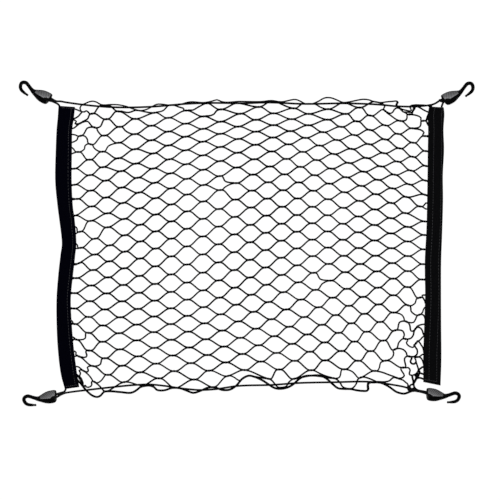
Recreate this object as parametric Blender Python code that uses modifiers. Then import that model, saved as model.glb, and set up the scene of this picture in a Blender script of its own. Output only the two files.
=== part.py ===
"""Cargo net for a car boot, lying flat as it is unpacked.

A knotless diamond net of black twine hangs between two folded tape bands. A round elastic cord runs through
the net's top and bottom edges and through four moulded plastic hooks, and its ends go into the bands.

Axes: +X to the right, +Y to the far (top) edge, +Z up. The origin is the middle of the net on the surface that
it lies on. Every size and place below is in millimetres and is turned into metres when a mesh is made.
"""

import math
from typing import NamedTuple

import bmesh
import bpy
from mathutils import Matrix, Vector, noise

MM = 0.001
SHARP = math.radians(35)    # a steeper bend between two faces is an edge
TUBE_RESOLUTION = 2         # of a round cord: eight sides

# ---- net -------------------------------------------------------------------------------------------------
COLUMNS = 19                # columns of joints; the real net has 23
ROWS = 15                   # diamonds from the top edge to the bottom edge; the real net has 18
JOINT_LENGTH = 12.0         # where two twines run side by side
TWINE = 1.8                 # height of a strand; a joint is as high
TWINE_ON_FLOOR = TWINE / 2  # height of a strand's middle where it lies on the surface
TWINE_IN_BAND = 2.2         # height of a strand's middle between the layers of a band
TWINE_OVER_CORD = 4.7       # height of a strand's middle where it crosses over the cord
TWINE_ON_BEND = 2.0         # height of the edge strand's middle away from the cord
TUCKED_IN = 7.0             # how far the net's side reaches into a band
CLOSER_AT_TOP = 0.27        # the rows lie closer together towards the top edge
TOP_Y = 250.0               # rough place of the top edge, to find a row's ends
BOTTOM_Y = -255.0
WANDER = 2.0                # how far a joint strays from its even place
WANDER_LENGTH = 40.0        # over which that changes
CRUMPLE_LENGTH = 17.0       # the same in the crumpled zones
NOISE_SEED = 6              # of the noise that both are read from

# ---- side bands ------------------------------------------------------------------------------------------
TAPE = 1.0                  # thickness of the woven tape
FOLD_RADIUS = 2.5           # of the tape's middle, round the cord

# ---- edge cord -------------------------------------------------------------------------------------------
CORD = 3.0
CORD_LOW = CORD / 2         # height of the cord's middle on the surface
CORD_HIGH = 3.9             # height of its middle where it crosses over a strand
LONG_STRETCH = 25.0         # a stretch of the route longer than this gets one more point

# ---- hooks -----------------------------------------------------------------------------------------------
HOOK_HEIGHT = 11.1          # of the middle of the blunt end over the surface
HOOK_ROLL = math.radians(40)    # of the curl's plane out of the surface
CORD_LEVEL = -0.6           # of the cord's loop in the hook's body, along the face's normal
TUNNEL = 4.0                # bore of the curved tunnel that holds the loop
HOOK_CORNERS = 12           # of each cross section
WELD = 0.01                 # points closer than this are one


class BandStation(NamedTuple):
    """A line across a side band: the point on its folded outer edge and the one on its open inner edge."""
    outer_x: float
    outer_y: float
    inner_x: float
    inner_y: float


class EdgeBend(NamedTuple):
    """A point of the net's top or bottom edge strand.

    out is the distance outside the cord (towards the net, where it is negative), z is the height of the strand's
    middle, and column is the column of joints that ends there, or None.
    """
    x: float
    out: float
    z: float
    column: int | None = None


class Crumple(NamedTuple):
    """A round zone in which the net lies unevenly."""
    x: float
    y: float
    radius: float
    sideways: float
    lift: float


class HookSection(NamedTuple):
    """A cross section of the hook: its middle in the plane of the curl, its two widths and how square it is."""
    along: float
    normal: float
    width: float
    thickness: float
    square: float


class HookPlace(NamedTuple):
    """Where a hook lies: the middle of its blunt end, where it points, and the side that it is rolled to."""
    x: float
    y: float
    heading: float
    rolled: int


LEFT_BAND = [
    BandStation(-337.5, 247.0, -310.0, 245.0),
    BandStation(-339.0, 225.0, -312.0, 225.0),
    BandStation(-341.0, 203.5, -315.0, 203.5),
    BandStation(-342.5, 167.5, -315.5, 167.5),
    BandStation(-343.5, 113.5, -316.0, 113.5),
    BandStation(-339.5, 68.5, -314.0, 68.5),
    BandStation(-336.0, 41.5, -310.5, 41.5),
    BandStation(-331.5, 2.0, -307.5, 2.0),
    BandStation(-334.0, -21.5, -309.5, -21.5),
    BandStation(-338.0, -57.5, -313.5, -57.5),
    BandStation(-341.0, -99.0, -317.5, -99.0),
    BandStation(-341.0, -142.0, -316.0, -142.0),
    BandStation(-339.0, -187.0, -311.5, -185.0),
    BandStation(-334.0, -232.0, -305.0, -228.5),
    BandStation(-326.2, -262.6, -300.1, -259.0),
]

RIGHT_BAND = [
    BandStation(353.7, 244.1, 329.6, 245.9),
    BandStation(354.8, 230.5, 327.2, 230.5),
    BandStation(353.2, 203.5, 327.8, 203.5),
    BandStation(354.2, 167.5, 327.2, 167.5),
    BandStation(352.1, 122.5, 326.7, 122.5),
    BandStation(352.4, 77.5, 326.0, 77.5),
    BandStation(351.0, 23.5, 324.7, 23.5),
    BandStation(349.0, -34.0, 321.8, -34.0),
    BandStation(348.8, -93.5, 322.4, -93.5),
    BandStation(349.0, -147.5, 320.8, -147.5),
    BandStation(349.4, -206.0, 319.0, -202.0),
    BandStation(347.9, -256.3, 319.1, -250.0),
]

# The tape's middle line, from the open edge of the lower layer round the fold to that of the upper one:
# distance from the outer edge, as a share of the flat part past the fold, and height.
LOWER_LAYER = [(1.0, 0.5), (0.5, 0.5), (0.04, 0.5)]
UPPER_LAYER = [(0.06, 5.45), (0.22, 5.1), (0.45, 4.3), (0.7, 3.9), (1.0, 3.9)]
FOLD_TURNS = (-90, -120, -150, -180, 150, 120, 90)     # degrees round the fold's middle, bottom to top

TOP_EDGE = [
    EdgeBend(-317.5, -11.5, TWINE_IN_BAND),
    EdgeBend(-305.5, -9.0, TWINE_IN_BAND, 0),
    EdgeBend(-288.4, 0.0, TWINE_OVER_CORD),
    EdgeBend(-276.0, 7.0, TWINE_ON_BEND),
    EdgeBend(-249.7, 0.0, TWINE_ON_FLOOR, 2),
    EdgeBend(-228.0, -3.5, TWINE_ON_FLOOR),
    EdgeBend(-197.0, -8.0, TWINE_ON_BEND),
    EdgeBend(-172.3, 0.0, TWINE_OVER_CORD, 4),
    EdgeBend(-145.0, 6.0, TWINE_ON_BEND),
    EdgeBend(-105.7, 0.0, TWINE_ON_FLOOR, 6),
    EdgeBend(-80.0, 6.5, TWINE_ON_BEND),
    EdgeBend(-53.0, 8.0, TWINE_ON_BEND),
    EdgeBend(-30.1, 0.0, TWINE_OVER_CORD, 8),
    EdgeBend(2.0, 6.5, TWINE_ON_BEND),
    EdgeBend(31.1, 0.0, TWINE_ON_FLOOR, 10),
    EdgeBend(52.0, 7.0, TWINE_ON_BEND),
    EdgeBend(84.0, 9.0, TWINE_ON_BEND),
    EdgeBend(108.5, 0.0, TWINE_OVER_CORD, 12),
    EdgeBend(132.0, 8.0, TWINE_ON_BEND),
    EdgeBend(150.0, 11.0, TWINE_ON_BEND),
    EdgeBend(178.7, 0.0, TWINE_ON_FLOOR, 14),
    EdgeBend(206.0, 8.0, TWINE_ON_BEND),
    EdgeBend(239.9, 0.0, TWINE_OVER_CORD, 16),
    EdgeBend(259.0, 8.0, TWINE_ON_BEND),
    EdgeBend(270.0, 9.0, TWINE_ON_BEND),
    EdgeBend(272.3, 0.0, TWINE_ON_FLOOR),
    EdgeBend(285.0, -9.0, TWINE_ON_FLOOR),
    EdgeBend(323.5, -9.0, TWINE_IN_BAND, 18),
    EdgeBend(335.0, -10.5, TWINE_IN_BAND),
]

BOTTOM_EDGE = [
    EdgeBend(-308.5, -14.0, TWINE_IN_BAND),
    EdgeBend(-297.0, -10.0, TWINE_IN_BAND, 0),
    EdgeBend(-289.3, 0.0, TWINE_OVER_CORD),
    EdgeBend(-279.0, 9.0, TWINE_ON_BEND),
    EdgeBend(-266.0, 13.0, TWINE_ON_BEND),
    EdgeBend(-242.5, 0.0, TWINE_ON_FLOOR, 2),
    EdgeBend(-212.0, 12.0, TWINE_ON_BEND),
    EdgeBend(-174.1, 0.0, TWINE_OVER_CORD, 4),
    EdgeBend(-148.0, 9.0, TWINE_ON_BEND),
    EdgeBend(-109.3, 0.0, TWINE_ON_FLOOR, 6),
    EdgeBend(-90.0, 7.0, TWINE_ON_BEND),
    EdgeBend(-55.0, 6.0, TWINE_ON_BEND),
    EdgeBend(-22.9, 0.0, TWINE_OVER_CORD, 8),
    EdgeBend(-6.0, -15.0, TWINE_ON_BEND),
    EdgeBend(4.0, -18.5, TWINE_ON_BEND),
    EdgeBend(18.0, -14.0, TWINE_ON_BEND),
    EdgeBend(39.2, 0.0, TWINE_ON_FLOOR, 10),
    EdgeBend(66.0, 9.0, TWINE_ON_BEND),
    EdgeBend(93.2, 0.0, TWINE_OVER_CORD, 12),
    EdgeBend(110.0, -11.0, TWINE_ON_BEND),
    EdgeBend(131.0, -12.0, TWINE_ON_BEND),
    EdgeBend(151.7, 0.0, TWINE_ON_FLOOR, 14),
    EdgeBend(168.0, 12.0, TWINE_ON_BEND),
    EdgeBend(209.0, 14.0, TWINE_ON_BEND),
    EdgeBend(234.5, 0.0, TWINE_OVER_CORD, 16),
    EdgeBend(266.0, 9.0, TWINE_ON_BEND),
    EdgeBend(285.0, 9.0, TWINE_ON_BEND),
    EdgeBend(292.1, 0.0, TWINE_ON_FLOOR),
    EdgeBend(290.3, -9.5, TWINE_ON_FLOOR),
    EdgeBend(294.0, -20.0, TWINE_ON_FLOOR),
    EdgeBend(304.0, -27.0, TWINE_ON_BEND),
    EdgeBend(314.0, -31.0, TWINE_IN_BAND, 18),
    EdgeBend(326.0, -32.0, TWINE_IN_BAND),
]

# How far the last rows of the net are pushed up from the line of the bottom cord: x and distance.
PUSHED_UP = [(-23.0, 0.0), (-6.0, 14.0), (4.0, 17.0), (18.0, 13.0), (39.0, 0.0), (93.0, 0.0), (110.0, 10.0),
             (131.0, 11.0), (152.0, 0.0), (250.0, 0.0), (276.0, 18.0), (290.0, 28.0), (326.0, 34.0)]

CRUMPLES = [
    Crumple(-290.0, 215.0, 50.0, 5.0, 3.0),
    Crumple(-290.0, -235.0, 45.0, 5.0, 3.0),
    Crumple(285.0, 215.0, 45.0, 5.0, 2.5),
    Crumple(295.0, -165.0, 75.0, 8.0, 4.0),
    Crumple(-20.0, 105.0, 25.0, 5.0, 1.5),
    Crumple(150.0, -65.0, 25.0, 5.0, 1.5),
]

HOOKS = {
    "hook_top_left": HookPlace(-355.7, 260.9, 154.5, -1),
    "hook_bottom_left": HookPlace(-343.4, -273.7, 190.0, -1),
    "hook_top_right": HookPlace(355.7, 258.9, 25.5, 1),
    "hook_bottom_right": HookPlace(327.0, -271.3, -8.0, 1),
}

HOOK_SECTIONS = [
    HookSection(0.0, -0.6, 17.8, 8.4, 4.0),
    HookSection(1.0, -0.6, 20.2, 10.2, 4.5),
    HookSection(4.0, -0.6, 22.0, 11.0, 5.0),
    HookSection(8.0, -0.6, 22.5, 11.0, 5.0),
    HookSection(13.0, -0.6, 21.6, 11.0, 5.0),
    HookSection(18.0, -0.6, 19.0, 10.4, 5.0),
    HookSection(23.0, -0.6, 15.0, 9.2, 4.5),
    HookSection(28.0, -0.5, 10.2, 7.6, 3.5),
    HookSection(32.0, 0.2, 7.0, 6.4, 2.5),
    HookSection(36.0, 2.4, 5.8, 5.8, 2.0),
    HookSection(40.5, 5.4, 5.6, 5.6, 2.0),
    HookSection(45.0, 8.6, 5.6, 5.6, 2.0),
    HookSection(49.5, 10.4, 5.6, 5.6, 2.0),
    HookSection(54.0, 8.8, 5.6, 5.6, 2.0),
    HookSection(56.5, 5.0, 5.6, 5.6, 2.0),
    HookSection(56.6, -0.5, 5.5, 5.5, 2.0),
    HookSection(54.8, -6.0, 5.3, 5.3, 2.0),
    HookSection(51.0, -10.0, 5.0, 5.0, 2.0),
    HookSection(46.0, -12.0, 4.6, 4.6, 2.0),
    HookSection(41.0, -13.3, 4.2, 4.2, 2.0),
    HookSection(37.8, -14.0, 3.6, 3.6, 2.0),
    HookSection(37.0, -14.2, 1.8, 1.8, 2.0),
]

# The cord's loop in a hook, seen on its face: distance from the blunt end and distance from the middle line.
# It starts on the side that lies higher and comes back on the lower one.
LOOP_IN_HOOK = [(0.0, 3.0), (5.2, 4.9), (10.8, 6.0), (16.0, 3.0), (16.0, -3.0), (10.8, -6.0), (5.2, -4.9),
                (0.0, -3.0)]


# ---- shared helpers --------------------------------------------------------------------------------------
def clear_scene():
    for old in list(bpy.data.objects):
        bpy.data.objects.remove(old, do_unlink=True)


def new_collection(name):
    collection = bpy.data.collections.new(name)
    bpy.context.scene.collection.children.link(collection)
    return collection


def new_material(name, colour, roughness, metallic=0.0):
    material = bpy.data.materials.new(name)
    material.use_nodes = True
    shader = material.node_tree.nodes["Principled BSDF"]
    shader.inputs["Base Color"].default_value = (*colour, 1.0)
    shader.inputs["Roughness"].default_value = roughness
    shader.inputs["Metallic"].default_value = metallic
    return material


def new_object(name, data, material, collection):
    piece = bpy.data.objects.new(name, data)
    data.materials.append(material)
    collection.objects.link(piece)
    return piece


def height_along(points, x):
    """The y of a line of points with rising x, at x."""
    if x <= points[0][0]:
        return points[0][1]
    for left, right in zip(points, points[1:]):
        if x <= right[0]:
            return left[1] + (right[1] - left[1]) * (x - left[0]) / (right[0] - left[0])
    return points[-1][1]


def smooth_curve(points):
    """Points on a Catmull-Rom curve through the given ones: two for a short stretch, three for a long one."""
    route = [Vector(point) for point in points]
    smooth = []
    for index in range(len(route) - 1):
        start, end = route[index], route[index + 1]
        before = route[index - 1] if index else start - (end - start)
        after = route[index + 2] if index + 2 < len(route) else end + (end - start)
        pieces = 3 if (end - start).length > LONG_STRETCH else 2
        # Unequal stretches: the slopes are weighted so that a short stretch isn't thrown off by a long one.
        length = (end - start).length
        slope_start = tangent(before, start, end) * length
        slope_end = tangent(start, end, after) * length
        for step in range(pieces):
            t = step / pieces
            point = ((2 * t**3 - 3 * t**2 + 1) * start + (t**3 - 2 * t**2 + t) * slope_start
                     + (3 * t**2 - 2 * t**3) * end + (t**3 - t**2) * slope_end)
            point.z = max(point.z, CORD_LOW)
            smooth.append(point)
    smooth.append(route[-1])
    return smooth


def tangent(before, here, after):
    """The slope of a smooth curve at the middle one of three points."""
    back = (here - before).length
    ahead = (after - here).length
    return ((here - before) / back * ahead + (after - here) / ahead * back) / (back + ahead)


def tube(name, points, diameter, material, collection):
    """A round rod along a line of points, as a curve with filled ends."""
    data = bpy.data.curves.new(name, "CURVE")
    data.dimensions = "3D"
    data.bevel_depth = diameter / 2 * MM
    data.bevel_resolution = TUBE_RESOLUTION
    data.use_fill_caps = True
    spline = data.splines.new("POLY")
    spline.points.add(len(points) - 1)
    for target, point in zip(spline.points, points):
        target.co = (*(point * MM), 1.0)
    return new_object(name, data, material, collection)


# ---- hooks and the cord ----------------------------------------------------------------------------------
def hook_matrix(place):
    """Hook axes in millimetres: X towards the curl, Y across the face on the higher side, Z out of the face."""
    heading = math.radians(place.heading)
    ahead = Vector((math.cos(heading), math.sin(heading), 0.0))
    sideways = Vector((-math.sin(heading), math.cos(heading), 0.0)) * place.rolled
    up = Vector((0.0, 0.0, 1.0))
    normal = sideways * math.cos(HOOK_ROLL) + up * math.sin(HOOK_ROLL)
    across = normal.cross(ahead)
    rotation = Matrix((ahead, across, normal)).transposed().to_4x4()
    return Matrix.Translation((place.x, place.y, HOOK_HEIGHT)) @ rotation


def loop_in(hook, lower_side_first):
    """The stretch of the cord's route inside a hook."""
    place = HOOKS[hook]
    matrix = hook_matrix(place)
    loop = [matrix @ Vector((along, -across * place.rolled, CORD_LEVEL)) for along, across in LOOP_IN_HOOK]
    return loop[::-1] if lower_side_first else loop


def top_cord_route():
    """From the fold of the left band through both top hooks into the fold of the right band."""
    return [
        (-335.3, 236.0, 3.0), (-334.9, 242.0, 3.0), (-334.5, 248.0, 3.2), (-342.6, 253.5, 7.2),
        *loop_in("hook_top_left", lower_side_first=False),
        (-341.6, 256.4, 4.9), (-334.2, 255.4, 3.2), (-318.1, 253.4, 1.8),
        (-288.4, 249.7, CORD_LOW), (-249.7, 246.8, CORD_HIGH), (-172.3, 246.2, CORD_LOW),
        (-105.7, 250.7, CORD_HIGH), (-30.1, 254.0, CORD_LOW), (31.1, 253.3, CORD_HIGH),
        (108.5, 251.5, CORD_LOW), (178.7, 251.5, CORD_HIGH), (239.9, 249.1, CORD_LOW),
        (272.3, 246.1, CORD_HIGH),
        (326.3, 248.4, 1.8), (335.0, 250.4, 2.8), (344.0, 255.6, 5.6),
        *loop_in("hook_top_right", lower_side_first=True),
        (352.8, 252.8, 9.6), (350.9, 248.0, 4.4), (350.7, 244.0, 3.1), (350.8, 239.5, 3.0),
        (351.2, 234.0, 3.0),
    ]


def bottom_cord_route():
    """From the fold of the left band through both bottom hooks to the inner edge of the right band."""
    return [
        (-325.6, -252.4, 3.0), (-324.4, -257.6, 3.0), (-323.3, -262.4, 3.0), (-323.8, -266.6, 3.5),
        (-327.8, -269.4, 4.6),
        *loop_in("hook_bottom_left", lower_side_first=True),
        (-328.5, -270.9, 8.4), (-318.1, -268.4, 4.8),
        (-289.3, -264.1, CORD_LOW), (-242.5, -258.8, CORD_HIGH), (-174.1, -254.2, CORD_LOW),
        (-109.3, -261.0, CORD_HIGH), (-22.9, -259.2, CORD_LOW), (39.2, -253.8, CORD_HIGH),
        (93.2, -250.9, CORD_LOW), (151.7, -249.5, CORD_HIGH), (234.5, -251.1, CORD_LOW),
        (292.1, -263.0, CORD_HIGH),
        (300.5, -265.0, 5.6), (313.5, -268.0, 9.8),
        *loop_in("hook_bottom_right", lower_side_first=False),
        (313.3, -265.0, 6.2), (302.6, -262.3, 3.2), (297.0, -258.2, 2.2), (296.4, -252.0, 1.8),
        (301.0, -246.0, 1.7), (308.5, -244.0, 1.9), (318.6, -245.2, 2.2),
    ]


def build_cord(name, route, material, collection):
    return tube(name, smooth_curve(route), CORD, material, collection)


def build_hook(name, route, material, collection, cutters):
    """A hook as one loft, with the curved tunnel in its blunt end that the cord's loop lies in."""
    mesh = bpy.data.meshes.new(name)
    form = bmesh.new()
    rings = [hook_ring(form, index) for index in range(len(HOOK_SECTIONS))]
    for ring, following in zip(rings, rings[1:]):
        for corner in range(len(ring)):
            form.faces.new((ring[corner - 1], ring[corner], following[corner], following[corner - 1]))
    form.faces.new(rings[0])
    form.faces.new(rings[-1])
    bmesh.ops.recalc_face_normals(form, faces=form.faces)
    form.to_mesh(mesh)
    form.free()
    mesh.shade_smooth()
    mesh.set_sharp_from_angle(angle=SHARP)
    hook = new_object(name, mesh, material, collection)
    matrix = hook_matrix(HOOKS[name])
    matrix.translation = matrix.translation * MM
    hook.matrix_world = matrix

    cut = hook.modifiers.new("Cord tunnel", "BOOLEAN")
    cut.operation = "DIFFERENCE"
    cut.object = tunnel_cutter(name, route, material, cutters)
    return hook


def hook_ring(form, index):
    """The vertices of one cross section, square to the line through the sections' middles."""
    section = HOOK_SECTIONS[index]
    middles = [Vector((row.along, 0.0, row.normal)) for row in HOOK_SECTIONS]
    ahead = middles[min(index + 1, len(middles) - 1)] - middles[max(index - 1, 0)]
    across = Vector((0.0, 1.0, 0.0))
    outwards = ahead.normalized().cross(across)
    ring = []
    for step in range(HOOK_CORNERS):
        angle = math.tau * (step + 0.5) / HOOK_CORNERS
        side = squared(math.cos(angle), section.square) * section.width / 2
        rise = squared(math.sin(angle), section.square) * section.thickness / 2
        ring.append(form.verts.new((middles[index] + across * side + outwards * rise) * MM))
    return ring


def squared(share, exponent):
    """A circle's sine or cosine, pushed out towards a rounded square."""
    return math.copysign(abs(share) ** (2 / exponent), share)


def tunnel_cutter(hook, route, material, cutters):
    """A closed tube round the cord where it runs in the hook, a little wider than the cord."""
    loop = loop_in(hook, lower_side_first=False)
    first, last = sorted((route.index(loop[0]), route.index(loop[-1])))
    curve = tube(f"{hook}_tunnel", smooth_curve(route[first - 1:last + 2]), TUNNEL, material, cutters)
    bpy.context.view_layer.update()
    depsgraph = bpy.context.evaluated_depsgraph_get()
    mesh = bpy.data.meshes.new_from_object(curve.evaluated_get(depsgraph))
    form = bmesh.new()
    form.from_mesh(mesh)
    bmesh.ops.remove_doubles(form, verts=form.verts, dist=WELD * MM)
    bmesh.ops.recalc_face_normals(form, faces=form.faces)
    form.to_mesh(mesh)
    form.free()
    cutter = bpy.data.objects.new(f"{hook}_tunnel_cutter", mesh)
    cutters.objects.link(cutter)
    cutter.matrix_world = curve.matrix_world
    cutter.hide_render = True
    cutter.display_type = "WIRE"
    bpy.data.objects.remove(curve, do_unlink=True)
    return cutter


# ---- side bands ------------------------------------------------------------------------------------------
def band_profile():
    """The folded tape in cross section: (distance past the outer edge, share of the flat part, height)."""
    middle = FOLD_RADIUS + TAPE / 2
    profile = [(middle, share, height) for share, height in LOWER_LAYER]
    for turn in FOLD_TURNS:
        angle = math.radians(turn)
        profile.append((middle + FOLD_RADIUS * math.cos(angle), 0.0, middle + FOLD_RADIUS * math.sin(angle)))
    profile += [(middle, share, height) for share, height in UPPER_LAYER]
    return profile


def build_band(name, stations, material, collection):
    """A tape folded lengthwise, as an open sheet along the band's stations with Solidify."""
    mesh = bpy.data.meshes.new(name)
    form = bmesh.new()
    lines = []
    for station in stations:
        outer = Vector((station.outer_x, station.outer_y, 0.0))
        width = Vector((station.inner_x, station.inner_y, 0.0)) - outer
        inwards = width.normalized()
        line = []
        for offset, share, height in band_profile():
            reach = offset + share * (width.length - offset)
            line.append(form.verts.new((outer + inwards * reach + Vector((0.0, 0.0, height))) * MM))
        lines.append(line)
    for line, following in zip(lines, lines[1:]):
        for step in range(len(line) - 1):
            form.faces.new((line[step], line[step + 1], following[step + 1], following[step]))
    bmesh.ops.recalc_face_normals(form, faces=form.faces)
    form.to_mesh(mesh)
    form.free()
    mesh.shade_smooth()
    mesh.set_sharp_from_angle(angle=SHARP)
    band = new_object(name, mesh, material, collection)
    solid = band.modifiers.new("Tape thickness", "SOLIDIFY")
    solid.thickness = TAPE * MM
    solid.offset = 0.0
    solid.use_even_offset = True
    return band


# ---- net -------------------------------------------------------------------------------------------------
def inner_edge(stations, y):
    """The x of a band's inner edge at y."""
    return height_along([(-station.inner_y, station.inner_x) for station in stations], -y)


def edge_line(route):
    """The cord's plan line along the net, as (x, y) of the points where it crosses the net's edge strand."""
    return [(x, y) for x, y, z in route if z in (CORD_LOW, CORD_HIGH)]


class NetPlan:
    """Where each joint of the net lies.

    Columns count from the left and rows from the top edge. A joint of an even column lies on a whole row and one
    of an odd column half a row lower, so that the strands between them close diamonds.
    """

    def __init__(self, top_route, bottom_route):
        self.top_line = edge_line(top_route)
        self.bottom_line = edge_line(bottom_route)
        self.top_edge = self.edge_points(TOP_EDGE, self.top_line, outwards=1)
        self.bottom_edge = self.edge_points(BOTTOM_EDGE, self.bottom_line, outwards=-1)

    @staticmethod
    def edge_points(bends, line, outwards):
        return [Vector((bend.x, height_along(line, bend.x) + outwards * bend.out, bend.z)) for bend in bends]

    @staticmethod
    def joint_x(bends, column):
        """The x of the edge's joint in a column, or between its two neighbours in an odd column."""
        ends = [bend.x for bend in bends if bend.column in (column - 1, column, column + 1)]
        return sum(ends) / len(ends) if column % 2 else next(b.x for b in bends if b.column == column)

    def joint_middle(self, column, row):
        """The plan position of a joint's middle."""
        across = column / (COLUMNS - 1)
        down = row / ROWS
        down -= CLOSER_AT_TOP * down * (1 - down) ** 2
        rough_y = TOP_Y + (BOTTOM_Y - TOP_Y) * down
        left, right = inner_edge(LEFT_BAND, rough_y), inner_edge(RIGHT_BAND, rough_y)
        x = left + (right - left) * across
        near_top, near_bottom = math.exp(-row / 2), math.exp((row - ROWS) / 2)
        if 0 < column < COLUMNS - 1:
            x += (self.joint_x(TOP_EDGE, column) - x) * near_top
            x += (self.joint_x(BOTTOM_EDGE, column) - x) * near_bottom
        top, bottom = height_along(self.top_line, x), height_along(self.bottom_line, x)
        y = top + (bottom - top) * down
        return x, y + height_along(PUSHED_UP, x) * near_bottom

    def joint_end(self, column, row, side):
        """An end of a joint: side is -1 for its left end and 1 for its right one."""
        x, y = self.joint_middle(column, row)
        in_left_band, in_right_band = column == 0, column == COLUMNS - 1
        if in_left_band:
            x = inner_edge(LEFT_BAND, y) + (JOINT_LENGTH - TUCKED_IN if side > 0 else -TUCKED_IN)
        elif in_right_band:
            x = inner_edge(RIGHT_BAND, y) - (JOINT_LENGTH - TUCKED_IN if side < 0 else -TUCKED_IN)
        else:
            x += side * JOINT_LENGTH / 2
        z = TWINE_IN_BAND if in_left_band or in_right_band else TWINE_ON_FLOOR
        return self.crumpled(Vector((x, y, z)), in_left_band or in_right_band)

    @staticmethod
    def crumpled(point, held):
        """The point, shifted and lifted where the net lies unevenly."""
        if held:
            return point
        shift = noise.noise_vector(point / WANDER_LENGTH)
        moved = point + Vector((shift.x, shift.y, 0.0)) * WANDER
        for zone in CRUMPLES:
            share = math.exp(-((point.x - zone.x) ** 2 + (point.y - zone.y) ** 2) / zone.radius ** 2)
            local = noise.noise_vector(point / CRUMPLE_LENGTH)
            moved += Vector((local.x * zone.sideways, local.y * zone.sideways, abs(local.z) * zone.lift)) * share
        return moved


def net_cells(plan):
    """The diamonds of the net, each as the keys of its corners in order.

    A key is (column, row, side) for a joint's end, and ("top" or "bottom", number) for a point of an edge.
    """
    cells = []
    last = COLUMNS - 1
    for column in range(COLUMNS):
        first_row = 1.0 if column % 2 == 0 else 0.5
        rows = [first_row + step for step in range(ROWS - 1 if column % 2 == 0 else ROWS)]
        for above, below in zip(rows, rows[1:]):
            middle = (above + below) / 2
            cell = [(column, above, -1), (column, above, 1)]
            cell += [(column + 1, middle, -1)] if column < last else []
            cell += [(column, below, 1), (column, below, -1)]
            cell += [(column - 1, middle, 1)] if column else []
            cells.append(cell)
        cells.append(edge_cell("top", TOP_EDGE, column, rows[0], 0.5))
        cells.append(edge_cell("bottom", BOTTOM_EDGE, column, rows[-1], ROWS - 0.5))
    return cells


def edge_cell(edge, bends, column, row, next_row):
    """The cell between an edge of the net and the joint of a column that is nearest to it."""
    joints = {bend.column: number for number, bend in enumerate(bends) if bend.column is not None}
    joint_ends = [(column, row, 1), (column, row, -1)]
    if column % 2:
        along_edge = [(edge, number) for number in range(joints[column - 1], joints[column + 1] + 1)]
        return along_edge + joint_ends
    first = 0 if column == 0 else joints[column]
    last = len(bends) - 1 if column == COLUMNS - 1 else joints[column]
    corner = [(edge, number) for number in range(first, last + 1)]
    right = [(column + 1, next_row, -1)] if column < COLUMNS - 1 else []
    left = [(column - 1, next_row, 1)] if column else []
    return corner + right + joint_ends + left


def build_net(name, plan, material, collection):
    """The net as a flat mesh of its diamonds, whose edges the Wireframe modifier turns into strands."""
    mesh = bpy.data.meshes.new(name)
    form = bmesh.new()
    corners = {}
    for cell in net_cells(plan):
        for key in cell:
            if key not in corners:
                corners[key] = form.verts.new(net_corner(plan, key) * MM)
        form.faces.new([corners[key] for key in cell])
    bmesh.ops.recalc_face_normals(form, faces=form.faces)
    form.to_mesh(mesh)
    form.free()
    net = new_object(name, mesh, material, collection)
    strands = net.modifiers.new("Strands", "WIREFRAME")
    strands.thickness = TWINE * MM
    strands.offset = 0.0
    strands.use_boundary = True
    strands.use_replace = True
    strands.use_even_offset = True
    return net


def net_corner(plan, key):
    if key[0] == "top":
        return plan.top_edge[key[1]]
    if key[0] == "bottom":
        return plan.bottom_edge[key[1]]
    return plan.joint_end(*key)


def main():
    clear_scene()
    noise.seed_set(NOISE_SEED)
    parts = new_collection("Cargo net")
    cutters = new_collection("Cutters")
    twine = new_material("Black twine", (0.012, 0.012, 0.013), 0.9)
    tape = new_material("Black woven tape", (0.006, 0.006, 0.009), 0.85)
    elastic = new_material("Black elastic cord", (0.01, 0.01, 0.01), 0.8)
    plastic = new_material("Black moulded plastic", (0.02, 0.02, 0.021), 0.4)

    top_route, bottom_route = top_cord_route(), bottom_cord_route()
    build_net("net", NetPlan(top_route, bottom_route), twine, parts)
    build_band("band_left", LEFT_BAND, tape, parts)
    build_band("band_right", RIGHT_BAND, tape, parts)
    build_cord("edge_cord_top", top_route, elastic, parts)
    build_cord("edge_cord_bottom", bottom_route, elastic, parts)
    for name in HOOKS:
        route = top_route if "top" in name else bottom_route
        build_hook(name, route, plastic, parts, cutters)


main()
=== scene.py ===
"""Looks of a cargo net for a car boot, lying flat as it is unpacked.

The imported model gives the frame. The classes below build the knotless net of black twine, the two folded tape
bands with their stitching, the elastic cord along the top and bottom edges, and the four moulded hooks.

Axes: +X to the right, +Y to the far (top) edge, +Z up, with the origin in the middle of the net on the surface
that it lies on. Sizes and places are in millimetres and turn into metres when a mesh is made.
"""

import logging
import math
from dataclasses import dataclass, field
from enum import Enum
from typing import Any, NamedTuple, Sequence

import bpy
import numpy as np
from mathutils import Matrix, Vector, noise


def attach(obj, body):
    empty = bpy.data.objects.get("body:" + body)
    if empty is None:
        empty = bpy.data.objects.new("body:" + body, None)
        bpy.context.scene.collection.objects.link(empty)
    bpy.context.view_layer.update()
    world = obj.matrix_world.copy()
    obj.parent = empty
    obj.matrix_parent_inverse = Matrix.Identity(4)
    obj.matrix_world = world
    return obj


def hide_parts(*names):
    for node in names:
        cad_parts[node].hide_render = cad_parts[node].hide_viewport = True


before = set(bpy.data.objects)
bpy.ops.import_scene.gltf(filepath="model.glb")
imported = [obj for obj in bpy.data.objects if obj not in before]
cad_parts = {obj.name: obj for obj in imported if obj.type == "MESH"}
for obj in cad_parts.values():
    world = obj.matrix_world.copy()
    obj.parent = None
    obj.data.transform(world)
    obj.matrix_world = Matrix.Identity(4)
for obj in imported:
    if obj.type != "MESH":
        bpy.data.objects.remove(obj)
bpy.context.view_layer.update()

LOG = logging.getLogger("cargo_net")
BODY = "root"
MM = 0.001
SEED = 11

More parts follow.
